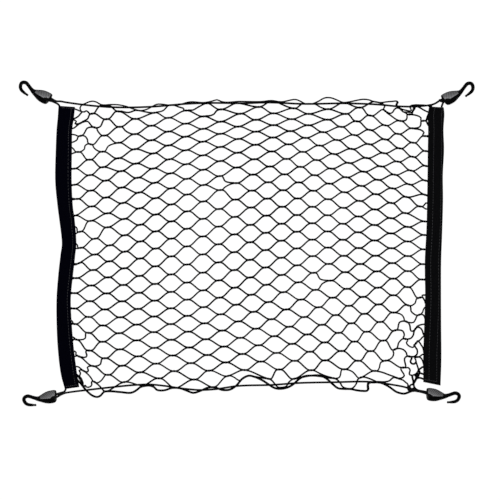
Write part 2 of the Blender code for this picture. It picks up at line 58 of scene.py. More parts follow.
# ---- the net's plan, in millimetres ----------------------------------------------------------------------
COLUMNS = 23                # columns of joints, counted from the left
ROWS = 18                   # rows of diamonds, counted from the top edge
TWINE = 3.15                # diameter of the netting twine
PAIR = 0.72                 # half the distance between the two twines in a joint
JOINT_HALF = 4.5            # half the length over which two twines run side by side
LEG_BEND = 0.6              # how far a leg keeps the direction of its joints: 1 is a full wave, 0 a straight line
JOINT_LIMIT = 0.45          # steepest slope of a joint that its neighbours give it
TOP_TWINE = 2.8             # diameter of the doubled twine along the top edge
BOTTOM_TWINE = 4.1          # and along the bottom edge
TWINE_IN_BAND = 2.2         # height of a twine's middle between the layers of a band
BAND_RISE = 9.0             # over which a twine climbs from the surface into a band
CORD = 3.6                  # diameter of the elastic cord
CORD_LOW = CORD / 2         # height of the cord's middle on the surface
CORD_HIGH = 4.2             # height of its middle where it crosses over a twine
CORD_CLEAR = 6.0            # how near to the cord, in plan, a twine starts to climb over it
TAPE = 0.9                  # thickness of the woven tape
FOLD_RADIUS = 2.5           # of the tape's middle, round the cord
LOWER_LAYER = 0.5           # height of the tape's middle in the lower layer
FOLD_MIDDLE = FOLD_RADIUS + LOWER_LAYER     # of the fold, from the outer edge and from the surface
HOOK_HEIGHT = 13.05         # of the middle of a hook's blunt end over the surface
HOOK_ROLL = math.radians(40)    # of the curl's plane out of the surface
CORD_LEVEL = -0.6           # of the cord's loop in the hook's body, along the face's normal
PANEL_HIGH = 0.80           # border of the hook's panel, grey with painted sheen, on the higher side, as a share of half the width
PANEL_CORNER = 9.0          # from the blunt end to where the panel's corner is cut
PANEL_CHAMFER = 0.095       # by which that border draws in for each mm nearer to the blunt end

Point = tuple[float, float]
Joint = tuple[int, float]


class Slot(str, Enum):
    """The record's material slots."""

    TWINE = "twine"
    TAPE = "tape"
    ELASTIC = "elastic"
    PLASTIC = "hook_plastic"


class PlanColumn(NamedTuple):
    """The middles of one column's joints, at each of PLAN_ROWS."""

    column: int
    joints: tuple[Point, ...]


class BandStation(NamedTuple):
    """A line across a side band: the point on its folded outer edge and the one on its open inner edge."""

    outer_x: float
    outer_y: float
    inner_x: float
    inner_y: float


class Crumple(NamedTuple):
    """A round zone in which the net lies unevenly."""

    x: float
    y: float
    radius: float
    lift: float


class HookSection(NamedTuple):
    """A cross section of the hook: its middle in the plane of the curl, its two widths and how square it is."""

    along: float
    normal: float
    width: float
    thickness: float
    square: float


class Span(NamedTuple):
    """Where a shade starts and where it is full, and how much it then adds."""

    start: float
    end: float
    gain: float


class HookPlace(NamedTuple):
    """Where a hook lies: the middle of its blunt end, where it points, and the side that it is rolled to."""

    x: float
    y: float
    heading: float
    rolled: int


PLAN_ROWS = (1, 3, 6, 9, 12, 15, 17)
PLAN = (
    PlanColumn(0, ((-299.0, 216.0), (-303.5, 164.0), (-305.5, 79.5), (-299.0, -8.5), (-310.0, -90.0),
                   (-307.0, -173.5), (-294.5, -230.0))),
    PlanColumn(2, ((-252.5, 223.0), (-259.5, 164.5), (-253.5, 82.0), (-246.5, -4.0), (-252.0, -90.5),
                   (-259.5, -177.5), (-250.0, -237.0))),
    PlanColumn(4, ((-200.5, 223.5), (-201.5, 169.0), (-194.0, 91.0), (-191.5, 3.0), (-194.0, -89.5),
                   (-198.0, -175.0), (-192.0, -232.5))),
    PlanColumn(8, ((-78.0, 228.0), (-79.0, 182.5), (-78.0, 104.5), (-79.0, 12.0), (-78.5, -85.0),
                   (-73.5, -173.0), (-67.5, -229.5))),
    PlanColumn(12, ((48.5, 233.5), (47.5, 190.0), (39.0, 109.5), (34.5, 18.5), (35.5, -75.0),
                    (49.5, -167.5), (58.5, -227.5))),
    PlanColumn(16, ((178.0, 232.5), (162.5, 185.5), (148.5, 107.0), (145.5, 21.0), (150.5, -67.5),
                    (165.5, -161.5), (175.5, -227.0))),
    PlanColumn(18, ((222.5, 229.5), (220.0, 178.0), (206.0, 103.0), (200.5, 19.5), (207.0, -67.0),
                    (216.0, -159.5), (231.0, -230.0))),
    PlanColumn(20, ((276.0, 220.0), (275.5, 170.5), (262.0, 98.5), (259.5, 17.5), (263.5, -64.0),
                    (267.0, -157.0), (281.5, -224.0))),
    PlanColumn(22, ((318.0, 220.0), (322.5, 165.5), (320.5, 87.0), (320.0, 14.5), (315.5, -65.5),
                    (303.5, -154.5), (306.5, -205.0))),
)

# Joints that lie away from their even place, and those on the top and bottom edges.
STRAYED: dict[Joint, Point] = {
    (0, 0): (-294.5, 236.9), (0, 2): (-299.0, 193.0), (0, 4): (-310.5, 134.0), (0, 5): (-310.0, 105.0),
    (0, 7): (-310.0, 49.5), (0, 16): (-301.5, -204.0), (0, 17): (-293.4, -229.9), (0, 18): (-292.0, -257.6),
    (1, 0.5): (-278.3, 232.9), (1, 1.5): (-273.8, 208.1), (1, 7.5): (-281.0, 40.0), (1, 15.5): (-283.5, -193.3),
    (1, 16.5): (-276.5, -221.2), (1, 17.5): (-273.7, -250.0), (2, 0): (-248.0, 247.0), (2, 5): (-253.5, 112.5),
    (2, 8): (-250.5, 28.5), (2, 18): (-254.0, -267.0), (3, 0.5): (-230.5, 237.0), (3, 4.5): (-226.0, 129.5),
    (4, 0): (-197.5, 239.5), (4, 18): (-186.5, -256.5), (5, 0.5): (-166.5, 234.5), (5, 3.5): (-167.5, 161.5),
    (5, 17.5): (-158.2, -243.3), (6, 0): (-137.0, 249.3), (6, 18): (-129.0, -261.0), (7, 17.5): (-94.8, -245.5),
    (8, 0): (-71.5, 251.8), (8, 18): (-59.0, -259.5), (9, 6.5): (-47.5, 95.5), (9, 17.5): (-33.5, -239.0),
    (10, 0): (-18.5, 252.0), (10, 1): (-11.5, 232.8), (10, 18): (4.0, -239.5), (11, 0.5): (21.4, 245.0),
    (11, 17.5): (38.5, -244.0), (12, 0): (45.5, 256.0), (12, 18): (60.0, -260.5), (13, 0.5): (84.3, 242.6),
    (13, 17.5): (86.0, -244.0), (14, 0): (103.0, 251.5), (14, 1): (111.5, 232.5), (14, 17): (116.2, -228.7),
    (14, 18): (117.5, -239.5), (15, 0.5): (146.0, 241.0), (15, 16.5): (141.0, -211.0), (15, 17.5): (156.5, -243.2),
    (16, 0): (173.5, 253.0), (16, 18): (186.5, -262.5), (17, 17.5): (205.4, -241.9), (18, 0): (231.0, 255.0),
    (18, 18): (236.0, -250.0), (19, 0.5): (249.2, 237.8), (19, 16.5): (250.0, -211.5), (19, 17.5): (270.0, -242.5),
    (20, 0): (272.5, 243.5), (20, 2): (272.0, 196.5), (20, 16): (267.0, -191.0), (20, 18): (292.0, -258.0),
    (21, 0.5): (293.0, 231.5), (21, 6.5): (287.5, 83.0), (21, 7.5): (285.5, 54.0), (21, 13.5): (290.5, -112.0),
    (21, 14.5): (287.7, -141.6), (21, 15.5): (285.6, -172.4), (21, 16.5): (292.8, -204.0),
    (21, 17.5): (297.9, -237.4), (22, 0): (302.5, 247.0), (22, 7): (312.5, 66.0), (22, 13): (312.0, -98.0),
    (22, 14): (310.5, -129.0),
}

# The slope of joints that lie askew, in degrees.
ASKEW: dict[Joint, float] = {
    (0, 0): -5, (0, 1): 27, (0, 2): 14, (0, 10): 22, (0, 16): -21, (0, 17): -28, (1, 0.5): 10, (1, 1.5): -15,
    (1, 2.5): -15, (1, 15.5): -4, (1, 16.5): -9, (1, 17.5): -27, (15, 17.5): -10, (17, 17.5): 18, (19, 0.5): -38,
    (19, 17.5): -18, (20, 15): 15, (20, 16): 25, (20, 17): 4, (21, 13.5): -17, (21, 14.5): -24, (21, 15.5): -12,
    (21, 16.5): -12, (21, 17.5): 3, (22, 13): 12, (22, 14): 19, (22, 15): 50, (22, 16): 50, (22, 17): 3,
}

# Points that a leg between two joints passes, where it is bent back on itself: left joint first.
BENT_LEGS: dict[tuple[Joint, Joint], tuple[Point, ...]] = {
    ((0, 0), (1, 0.5)): ((-288.9, 238.1), (-283.9, 234.2)),
    ((0, 1), (1, 0.5)): ((-285.5, 224.5),),
    ((0, 1), (1, 1.5)): ((-286.0, 219.0), (-281.5, 214.0)),
    ((0, 2), (1, 1.5)): ((-291.0, 200.0), (-287.5, 206.5)),
    ((0, 2), (1, 2.5)): ((-289.5, 191.0), (-286.5, 185.5)),
    ((0, 3), (1, 2.5)): ((-292.0, 169.5), (-291.0, 175.0)),
    ((0, 15), (1, 14.5)): ((-290.5, -171.0), (-290.0, -165.5)),
    ((0, 16), (1, 15.5)): ((-288.9, -204.8), (-287.6, -201.4), (-289.6, -195.5)),
    ((0, 17), (1, 16.5)): ((-286.5, -231.5), (-285.0, -229.5), (-286.9, -223.6)),
    ((0, 17), (1, 17.5)): ((-283.8, -238.0), (-279.0, -244.5)),
    ((0, 18), (1, 17.5)): ((-288.9, -258.8), (-280.6, -257.6), (-278.8, -254.5), (-279.3, -251.3)),
    ((1, 0.5), (2, 0)): ((-270.9, 238.9), (-266.5, 245.0), (-262.0, 248.0)),
    ((1, 1.5), (2, 1)): ((-263.3, 209.9), (-259.9, 216.7)),
    ((1, 1.5), (2, 2)): ((-268.9, 203.4), (-265.2, 197.8)),
    ((1, 2.5), (2, 3)): ((-276.0, 173.2),),
    ((1, 16.5), (2, 16)): ((-263.0, -217.5), (-261.5, -210.5)),
    ((1, 17.5), (2, 17)): ((-262.0, -247.5), (-257.0, -241.0)),
    ((1, 17.5), (2, 18)): ((-261.4, -260.5),),
    ((2, 3), (3, 2.5)): ((-249.5, 174.2),),
    ((3, 0.5), (4, 0)): ((-213.0, 235.0),),
    ((3, 1.5), (4, 2)): ((-219.2, 203.0),),
    ((5, 0.5), (6, 0)): ((-149.5, 239.0), (-144.5, 244.3)),
    ((6, 0), (7, 0.5)): ((-122.5, 245.1), (-113.0, 240.8)),
    ((7, 0.5), (8, 0)): ((-97.2, 239.4), (-87.5, 244.7)),
    ((8, 1), (9, 0.5)): ((-66.0, 229.3), (-58.7, 232.4), (-54.5, 238.0)),
    ((9, 5.5), (10, 6)): ((-40.0, 112.5),),
    ((9, 6.5), (10, 6)): ((-41.0, 99.0),),
    ((9, 17.5), (10, 18)): ((-21.0, -242.6), (-13.6, -247.2), (-7.5, -244.5)),
    ((12, 18), (13, 17.5)): ((71.5, -257.5), (75.2, -250.8)),
    ((14, 0), (15, 0.5)): ((124.0, 249.5), (133.5, 244.2)),
    ((14, 17), (15, 17.5)): ((131.0, -234.3), (141.0, -238.6)),
    ((15, 11.5), (16, 12)): ((132.0, -64.5),),
    ((15, 12.5), (16, 12)): ((135.5, -73.5),),
    ((15, 17.5), (16, 17)): ((166.6, -241.6), (168.9, -236.0)),
    ((15, 17.5), (16, 18)): ((167.6, -250.6), (172.5, -258.5)),
    ((16, 17), (17, 17.5)): ((190.5, -231.6), (196.6, -238.0)),
    ((16, 18), (17, 17.5)): ((194.2, -257.6), (197.6, -252.0), (199.1, -246.6)),
    ((17, 17.5), (18, 18)): ((220.5, -243.7), (228.8, -247.1)),
    ((18, 0), (19, 0.5)): ((238.5, 252.8), (244.4, 250.6), (248.3, 245.8)),
    ((18, 17), (19, 16.5)): ((239.0, -223.0), (241.0, -215.0)),
    ((18, 17), (19, 17.5)): ((245.5, -233.0), (254.5, -236.5)),
    ((18, 18), (19, 17.5)): ((248.0, -249.6), (257.5, -247.3), (262.0, -243.0)),
    ((19, 0.5), (20, 0)): ((259.2, 233.5), (263.2, 236.2), (265.3, 240.1)),
    ((19, 0.5), (20, 1)): ((258.0, 230.5),),
    ((19, 16.5), (20, 16)): ((261.5, -206.0), (264.5, -198.0)),
    ((19, 17.5), (20, 17)): ((280.5, -242.0), (283.5, -238.5), (279.5, -231.0)),
    ((19, 17.5), (20, 18)): ((281.0, -246.4), (286.0, -250.6), (290.3, -254.5)),
    ((20, 0), (21, 0.5)): ((277.5, 240.0), (281.3, 236.5), (286.0, 234.3)),
    ((20, 1), (21, 0.5)): ((286.5, 221.5), (288.5, 226.0)),
    ((20, 14), (21, 14.5)): ((279.5, -129.5), (283.0, -135.0)),
    ((20, 15), (21, 14.5)): ((272.5, -151.0), (274.5, -143.0)),
    ((20, 15), (21, 15.5)): ((280.5, -158.0), (283.5, -166.5)),
    ((20, 16), (21, 15.5)): ((273.0, -180.0), (277.5, -174.5)),
    ((20, 16), (21, 16.5)): ((281.5, -191.5), (287.5, -198.0)),
    ((20, 17), (21, 16.5)): ((285.0, -216.0), (284.0, -207.5)),
    ((20, 17), (21, 17.5)): ((290.5, -224.0), (294.0, -228.5), (292.5, -234.5)),
    ((21, 0.5), (22, 0)): ((298.0, 236.0), (300.0, 241.5)),
    ((21, 0.5), (22, 1)): ((306.5, 229.5), (313.5, 225.5)),
    ((21, 1.5), (22, 1)): ((312.0, 210.0), (313.5, 216.0)),
    ((21, 1.5), (22, 2)): ((315.5, 202.5), (319.0, 199.0)),
    ((21, 13.5), (22, 13)): ((303.0, -108.0), (306.5, -99.5)),
    ((21, 13.5), (22, 14)): ((295.5, -122.0), (299.5, -126.5)),
    ((21, 14.5), (22, 14)): ((300.2, -142.6), (304.3, -136.0)),
    ((21, 14.5), (22, 15)): ((294.0, -151.0), (295.5, -158.0), (300.0, -158.0)),
    ((21, 15.5), (22, 15)): ((295.5, -171.0), (300.0, -164.5)),
    ((21, 15.5), (22, 16)): ((287.3, -179.0), (291.0, -184.5), (300.5, -187.0)),
    ((21, 16.5), (22, 16)): ((302.5, -203.5), (306.5, -199.5), (306.5, -191.5)),
    ((21, 16.5), (22, 17)): ((300.0, -204.6),),
    ((21, 17.5), (22, 17)): ((306.5, -233.0), (308.9, -227.5), (307.4, -222.0), (305.2, -215.3), (303.5, -208.5)),
}

# The way of the two twines of an outermost joint into the band, far one first, where they part before it.
BAND_LEGS: dict[Joint, tuple[tuple[Point, ...], tuple[Point, ...]]] = {
    (0, 0): ((), ((-302.8, 238.9), (-311.2, 241.7))),
    (0, 1): (((-309.0, 215.0), (-306.6, 218.7), (-311.0, 221.6)), ((-313.2, 206.3),)),
    (0, 2): (((-308.0, 194.5), (-313.9, 195.5)), ((-304.9, 186.5), (-309.8, 183.0), (-313.9, 181.4))),
    (0, 3): (((-311.2, 169.0), (-315.7, 172.8)), ((-315.0, 160.7),)),
    (0, 8): (((-305.1, 25.4), (-309.1, 30.0)), ((-309.0, 15.5),)),
    (0, 9): (((-304.5, -4.0), (-307.5, -1.0)), ((-307.5, -9.5),)),
    (0, 14): (((-312.7, -143.0), (-316.3, -138.4)), ((-316.0, -145.5),)),
    (0, 15): (((-308.5, -172.5), (-312.7, -169.0)), ((-312.5, -175.0),)),
    (0, 16): (((-307.6, -201.0), (-306.9, -197.3), (-309.8, -194.6)), ((-309.5, -204.0),)),
    (0, 17): (((-302.8, -222.8), (-307.6, -221.9)),
              ((-301.5, -229.1), (-299.3, -233.3), (-300.5, -238.2), (-306.4, -237.5))),
    (0, 18): (((-294.5, -251.5), (-296.0, -247.5), (-298.0, -243.0), (-301.5, -239.5), (-306.4, -236.5)), ()),
    (22, 1): (((322.5, 219.5), (326.0, 224.0)), ((325.1, 214.4), (328.0, 211.0))),
    (22, 7): (((322.0, 72.0),), ((322.0, 61.5),)),
    (22, 13): (((315.6, -94.2), (321.0, -93.5)), ((317.5, -98.8), (320.5, -104.5), (322.4, -110.0))),
    (22, 14): (((318.2, -119.0), (321.7, -114.1)), ((320.2, -132.8), (321.7, -138.4))),
    (22, 15): (((314.1, -146.7), (319.5, -146.0)),
               ((312.7, -153.0), (316.1, -157.9), (318.2, -164.7), (320.5, -167.6))),
    (22, 16): (((309.8, -175.8), (319.0, -167.6)),
               ((314.3, -184.0), (317.0, -188.1), (318.6, -194.8), (320.5, -199.6))),
    (22, 17): (((315.5, -200.6), (319.0, -199.6)),
               ((314.3, -207.7), (317.0, -213.0), (318.6, -219.0), (320.5, -223.4))),
}

# The doubled twine along the edges of the net, from the left band to the right one.
TOP_EDGE: tuple[Point, ...] = (
    (-297.4, 236.9), (-299.3, 240.3), (-299.7, 244.4), (-295.9, 248.6), (-290.3, 251.3), (-283.5, 254.3),
    (-276.5, 255.4), (-269.6, 253.4), (-264.1, 250.0), (-258.5, 248.6), (-246.0, 249.3), (-228.0, 248.5),
    (-215.5, 245.5), (-204.5, 241.5), (-190.5, 238.5), (-179.5, 240.8), (-171.2, 245.0), (-162.0, 249.7),
    (-152.5, 249.9), (-143.5, 248.6), (-127.5, 247.8), (-102.0, 254.0), (-75.0, 253.0), (-60.5, 256.0),
    (-53.5, 258.0), (-46.5, 255.0), (-12.0, 254.9), (27.5, 254.7), (46.3, 256.4), (57.0, 254.6), (64.5, 254.3),
    (76.0, 256.8), (88.0, 258.5), (97.5, 254.8), (103.0, 251.5), (117.5, 250.5), (128.5, 255.0), (141.0, 261.5),
    (151.5, 261.5), (162.5, 257.5), (173.5, 253.0), (184.0, 254.0), (199.5, 257.3), (209.0, 258.8), (219.0, 258.0),
    (229.5, 254.4), (242.0, 252.9), (253.0, 254.4), (262.0, 255.0), (271.0, 254.9), (272.4, 253.0), (269.5, 250.0),
    (269.0, 246.2), (273.4, 244.2), (279.5, 240.8), (285.0, 239.4), (296.2, 239.0), (295.5, 241.0), (293.0, 246.0),
    (300.0, 248.3), (312.0, 248.5), (321.0, 248.0), (327.5, 246.7), (330.4, 243.5), (328.3, 236.0), (325.6, 229.5),
    (323.4, 223.0), (322.8, 218.8),
)
BOTTOM_EDGE: tuple[Point, ...] = (
    (-313.0, -238.0), (-308.3, -241.6), (-303.7, -247.3), (-298.6, -252.7), (-293.8, -259.0), (-288.4, -265.1),
    (-282.1, -271.3), (-275.2, -275.6), (-268.2, -276.8), (-262.6, -274.1), (-257.2, -267.8), (-246.0, -266.6),
    (-228.0, -268.0), (-205.0, -268.4), (-197.2, -263.8), (-191.0, -258.8), (-184.0, -256.9), (-173.0, -256.4),
    (-166.5, -259.2), (-162.3, -263.8), (-154.6, -265.3), (-147.0, -264.6), (-134.5, -260.6), (-120.0, -261.0),
    (-107.5, -265.5), (-96.5, -269.5), (-84.0, -266.0), (-69.5, -260.0), (-57.0, -259.5), (-44.5, -264.0),
    (-30.0, -263.5), (-19.5, -257.0), (-6.5, -243.0), (4.0, -238.5), (15.0, -241.0), (27.5, -246.5), (38.5, -253.5),
    (51.0, -261.0), (69.0, -261.0), (80.6, -256.2), (87.5, -250.6), (94.2, -244.6), (103.0, -239.8),
    (117.0, -238.4), (132.0, -238.4), (143.0, -243.4), (155.0, -254.0), (164.5, -261.2), (174.8, -262.3),
    (188.6, -262.8), (195.7, -264.4), (209.5, -266.0), (216.5, -265.6), (219.0, -262.0), (217.8, -255.0),
    (220.5, -251.3), (228.8, -250.6), (239.9, -250.6), (245.5, -252.7), (257.9, -259.6), (269.0, -267.5),
    (276.5, -270.1), (284.0, -270.9), (291.0, -268.6), (297.0, -266.0),
)


class LooseTwine(NamedTuple):
    """A twine in a crumpled corner that belongs to no even row: its points and its diameter."""

    points: tuple[Point, ...]
    diameter: float = TWINE


LOOSE_TWINES = (
    LooseTwine(((-296.0, 236.0), (-298.5, 233.5), (-302.8, 228.4), (-309.8, 224.3), (-314.0, 223.0))),
    LooseTwine(((271.8, 254.6), (270.0, 250.5), (269.3, 246.5), (271.5, 243.5)), 4.2),
    LooseTwine(((303.5, 248.0), (302.0, 241.5), (299.0, 237.5), (297.0, 231.5)), 3.4),
    LooseTwine(((303.3, 247.0), (310.1, 244.3), (319.7, 238.9), (328.0, 235.0))),
    LooseTwine(((283.5, 235.8), (290.0, 235.5), (297.0, 235.2))),
    LooseTwine(((332.0, 247.0), (330.4, 240.0), (328.4, 233.0), (327.2, 226.5), (325.4, 221.0)), 4.2),
    LooseTwine(((-305.5, -236.0), (-302.2, -241.4), (-298.6, -247.4), (-296.0, -253.4), (-291.5, -259.6)), 3.4),
    LooseTwine(((218.6, -264.0), (217.9, -258.0), (218.4, -252.5)), 4.8),
    LooseTwine(((296.6, -204.3), (296.6, -208.4), (294.5, -212.6), (296.6, -216.5), (301.3, -217.3),
                (304.0, -215.3), (304.7, -213.8)), 3.8),
    LooseTwine(((308.9, -227.5), (310.9, -226.8), (315.5, -223.4), (322.0, -222.1)), 3.8),
    LooseTwine(((308.9, -227.5), (310.9, -231.5), (310.0, -235.0), (308.6, -239.0), (307.0, -242.5)), 4.4),
    LooseTwine(((301.5, -237.6), (306.0, -237.0), (310.4, -234.6)), 4.4),
    LooseTwine(((311.5, -233.6), (315.5, -235.0), (323.0, -237.5)), 3.8),
    LooseTwine(((297.9, -237.6), (297.9, -241.0), (299.4, -247.0), (299.8, -252.0), (298.4, -254.6)), 4.0),
    LooseTwine(((303.5, -236.6), (305.2, -242.0), (303.0, -247.5), (300.2, -252.0)), 4.4),
)

LEFT_BAND = (
    BandStation(-338.7, 247.0, -309.1, 245.0),
    BandStation(-340.2, 225.0, -311.1, 225.0),
    BandStation(-342.2, 203.5, -314.1, 203.5),
    BandStation(-343.7, 167.5, -314.6, 167.5),
    BandStation(-344.7, 113.5, -315.1, 113.5),
    BandStation(-340.7, 68.5, -313.1, 68.5),
    BandStation(-337.2, 41.5, -309.6, 41.5),
    BandStation(-332.7, 2.0, -306.6, 2.0),
    BandStation(-335.2, -21.5, -308.6, -21.5),
    BandStation(-339.2, -57.5, -312.6, -57.5),
    BandStation(-342.2, -99.0, -316.6, -99.0),
    BandStation(-342.2, -142.0, -315.1, -142.0),
    BandStation(-340.2, -187.0, -311.7, -185.0),
    BandStation(-335.2, -232.0, -306.3, -228.5),
    BandStation(-327.4, -262.6, -301.4, -259.0),
)
RIGHT_BAND = (
    BandStation(354.6, 244.1, 328.3, 245.9),
    BandStation(355.7, 230.5, 325.9, 230.5),
    BandStation(354.1, 203.5, 326.5, 203.5),
    BandStation(355.1, 167.5, 325.9, 167.5),
    BandStation(353.0, 122.5, 325.4, 122.5),
    BandStation(353.3, 77.5, 324.7, 77.5),
    BandStation(351.9, 23.5, 323.4, 23.5),
    BandStation(349.9, -34.0, 320.5, -34.0),
    BandStation(349.7, -93.5, 321.1, -93.5),
    BandStation(349.9, -147.5, 319.5, -147.5),
    BandStation(350.3, -206.0, 317.7, -202.0),
    BandStation(348.8, -256.3, 317.8, -250.0),
)

# Height of the tape's middle in the upper layer, against the share of the flat part past the fold.
UPPER_LAYER = ((0.0, 5.5), (0.06, 5.45), (0.22, 5.1), (0.45, 4.3), (0.7, 3.9), (1.0, 3.9))

CRUMPLES = (
    Crumple(-290.0, 215.0, 45.0, 3.0),
    Crumple(-290.0, -235.0, 45.0, 3.0),
    Crumple(290.0, 225.0, 40.0, 2.5),
    Crumple(300.0, -180.0, 60.0, 4.0),
    Crumple(-40.0, 105.0, 22.0, 1.5),
    Crumple(132.0, -68.0, 22.0, 1.5),
)

HOOKS = {
    "hook_top_left": HookPlace(-355.2, 259.4, 154.5, -1),
    "hook_bottom_left": HookPlace(-343.9, -274.1, 190.0, -1),
    "hook_top_right": HookPlace(355.1, 257.7, 25.5, 1),
    "hook_bottom_right": HookPlace(325.1, -270.4, -8.0, 1),
}
HOOK_SECTIONS = (
    HookSection(-1.8, -1.2, 20.0, 9.6, 5.0),
    HookSection(-0.8, -1.2, 22.4, 11.4, 6.0),
    HookSection(2.2, -1.2, 24.0, 12.2, 7.0),
    HookSection(7.0, -1.2, 24.6, 12.2, 7.0),
    HookSection(12.5, -1.2, 23.6, 12.2, 7.0),
    HookSection(18.0, -1.2, 20.6, 11.6, 6.0),
    HookSection(23.0, -1.1, 16.2, 10.2, 5.0),
    HookSection(28.0, -0.8, 11.2, 8.6, 4.0),
    HookSection(32.0, 0.1, 8.2, 7.4, 3.0),
    HookSection(36.0, 2.4, 6.9, 6.9, 2.2),
    HookSection(40.5, 5.4, 6.6, 6.6, 2.0),
    HookSection(45.0, 8.6, 6.6, 6.6, 2.0),
    HookSection(49.5, 10.4, 6.6, 6.6, 2.0),
    HookSection(54.0, 8.8, 6.6, 6.6, 2.0),
    HookSection(56.5, 5.0, 6.6, 6.6, 2.0),
    HookSection(56.6, -0.5, 6.5, 6.5, 2.0),
    HookSection(54.8, -6.0, 6.2, 6.2, 2.0),
    HookSection(51.0, -10.0, 5.8, 5.8, 2.0),
    HookSection(46.0, -12.0, 5.2, 5.2, 2.0),
    HookSection(42.5, -13.0, 4.4, 4.4, 2.0),
    HookSection(40.4, -13.5, 3.6, 3.6, 2.0),
    HookSection(38.6, -13.9, 4.4, 4.4, 2.0),
    HookSection(37.0, -14.2, 2.6, 2.6, 2.0),
)

# The cord's loop in a hook, seen on its face: distance from the blunt end and distance from the middle line.
LOOP_IN_HOOK = ((4.5, 6.0), (10.0, 7.5), (15.6, 5.4), (18.0, 0.0), (15.6, -5.4), (10.0, -7.5), (4.5, -6.0))
LOOP_START = -1.0           # of the loop, from the blunt end

# The strands of the elastic cord's knots, in three dimensions: the ring of the slip knot at the bottom right corner and
# its three wraps, then the wraps over the cord's legs at the top right, top left, bottom left and top right hook.
KNOT_STRANDS = (
    ((301.3, -258.3, 5.4), (300.2, -255.5, 5.8), (297.4, -254.4, 6.0), (294.6, -255.5, 5.8), (293.5, -258.3, 5.4),
     (294.6, -261.1, 5.0), (297.4, -262.2, 5.0), (300.2, -261.1, 5.2), (301.3, -258.3, 5.4)),
    ((291.0, -255.6, 2.0), (289.9, -260.4, 3.0), (291.0, -264.4, 4.6), (295.0, -266.2, 5.2), (301.8, -266.0, 5.2)),
    ((292.6, -257.2, 3.6), (292.0, -260.8, 4.6), (294.2, -263.4, 6.0), (298.6, -264.2, 7.0), (303.2, -263.8, 6.4)),
    ((290.2, -262.6, 2.0), (294.0, -262.2, 3.0), (298.0, -263.0, 3.0), (302.0, -263.0, 3.0)),
    ((346.2, 258.2, 9.0), (348.8, 255.0, 10.6), (351.8, 254.4, 10.2), (352.6, 257.0, 8.6)),
    ((-356.0, 258.2, 11.6), (-349.5, 256.6, 9.4), (-343.4, 253.6, 6.6)),
    ((-345.0, -273.2, 12.0), (-335.0, -270.8, 9.0), (-326.8, -267.8, 5.6)),
    ((341.0, 252.6, 5.6), (347.0, 256.2, 8.6), (353.0, 257.4, 11.6)),
)


# ---- shared helpers --------------------------------------------------------------------------------------
def linear(colour: str) -> tuple[float, float, float, float]:
    """Turns an sRGB hex colour into linear RGBA.

    Args:
        colour: Six hex digits after a hash.

    Returns:
        The linear colour with full alpha.
    """
    shares = [int(colour[at:at + 2], 16) / 255 for at in (1, 3, 5)]
    return (*(s / 12.92 if s <= 0.04045 else ((s + 0.055) / 1.055) ** 2.4 for s in shares), 1.0)


def add_node(tree: bpy.types.NodeTree, kind: str, settings: dict[str, Any] | None = None,
             inputs: dict[Any, Any] | None = None) -> bpy.types.Node:
    """Adds one node with its settings, values and links.

    Args:
        tree: The material's node tree.
        kind: The node's type, such as ShaderNodeBump.
        settings: Properties of the node itself.
        inputs: For each input's name or number, a value or the output socket that feeds it.

    Returns:
        The new node.
    """
    node = tree.nodes.new(kind)
    for name, value in (settings or {}).items():
        setattr(node, name, value)
    for name, value in (inputs or {}).items():
        if isinstance(value, bpy.types.NodeSocket):
            tree.links.new(value, node.inputs[name])
        else:
            node.inputs[name].default_value = value
    return node


def hermite(start: Vector, start_slope: Vector, end: Vector, end_slope: Vector, share: float) -> Vector:
    """Reads the cubic curve between two points.

    Args:
        start: The curve's start.
        start_slope: Its slope there, for the whole stretch.
        end: The curve's end.
        end_slope: Its slope there.
        share: Where to read, from 0 to 1.

    Returns:
        The curve's point.
    """
    squared, cubed = share * share, share ** 3
    return ((2 * cubed - 3 * squared + 1) * start + (cubed - 2 * squared + share) * start_slope
            + (3 * squared - 2 * cubed) * end + (cubed - squared) * end_slope)


def smooth_at(stations: Sequence[float], values: Sequence[Vector], at: float) -> Vector:
    """Reads a smooth curve through uneven stations.

    Args:
        stations: Rising positions.
        values: The vector at each station.
        at: Where to read; past an end the curve goes on straight.

    Returns:
        The vector at that position.
    """
    slopes = []
    for here in range(len(stations)):
        back = (values[here] - values[here - 1]) / (stations[here] - stations[here - 1]) if here else None
        last = here == len(stations) - 1
        ahead = None if last else (values[here + 1] - values[here]) / (stations[here + 1] - stations[here])
        if back is None or ahead is None:
            slopes.append(ahead if back is None else back)
        else:
            before = stations[here] - stations[here - 1]
            after = stations[here + 1] - stations[here]
            slopes.append((back * after + ahead * before) / (before + after))
    if at <= stations[0]:
        return values[0] + slopes[0] * (at - stations[0])
    if at >= stations[-1]:
        return values[-1] + slopes[-1] * (at - stations[-1])
    first = max(index for index, station in enumerate(stations) if station <= at)
    width = stations[first + 1] - stations[first]
    return hermite(values[first], slopes[first] * width, values[first + 1], slopes[first + 1] * width,
                   (at - stations[first]) / width)


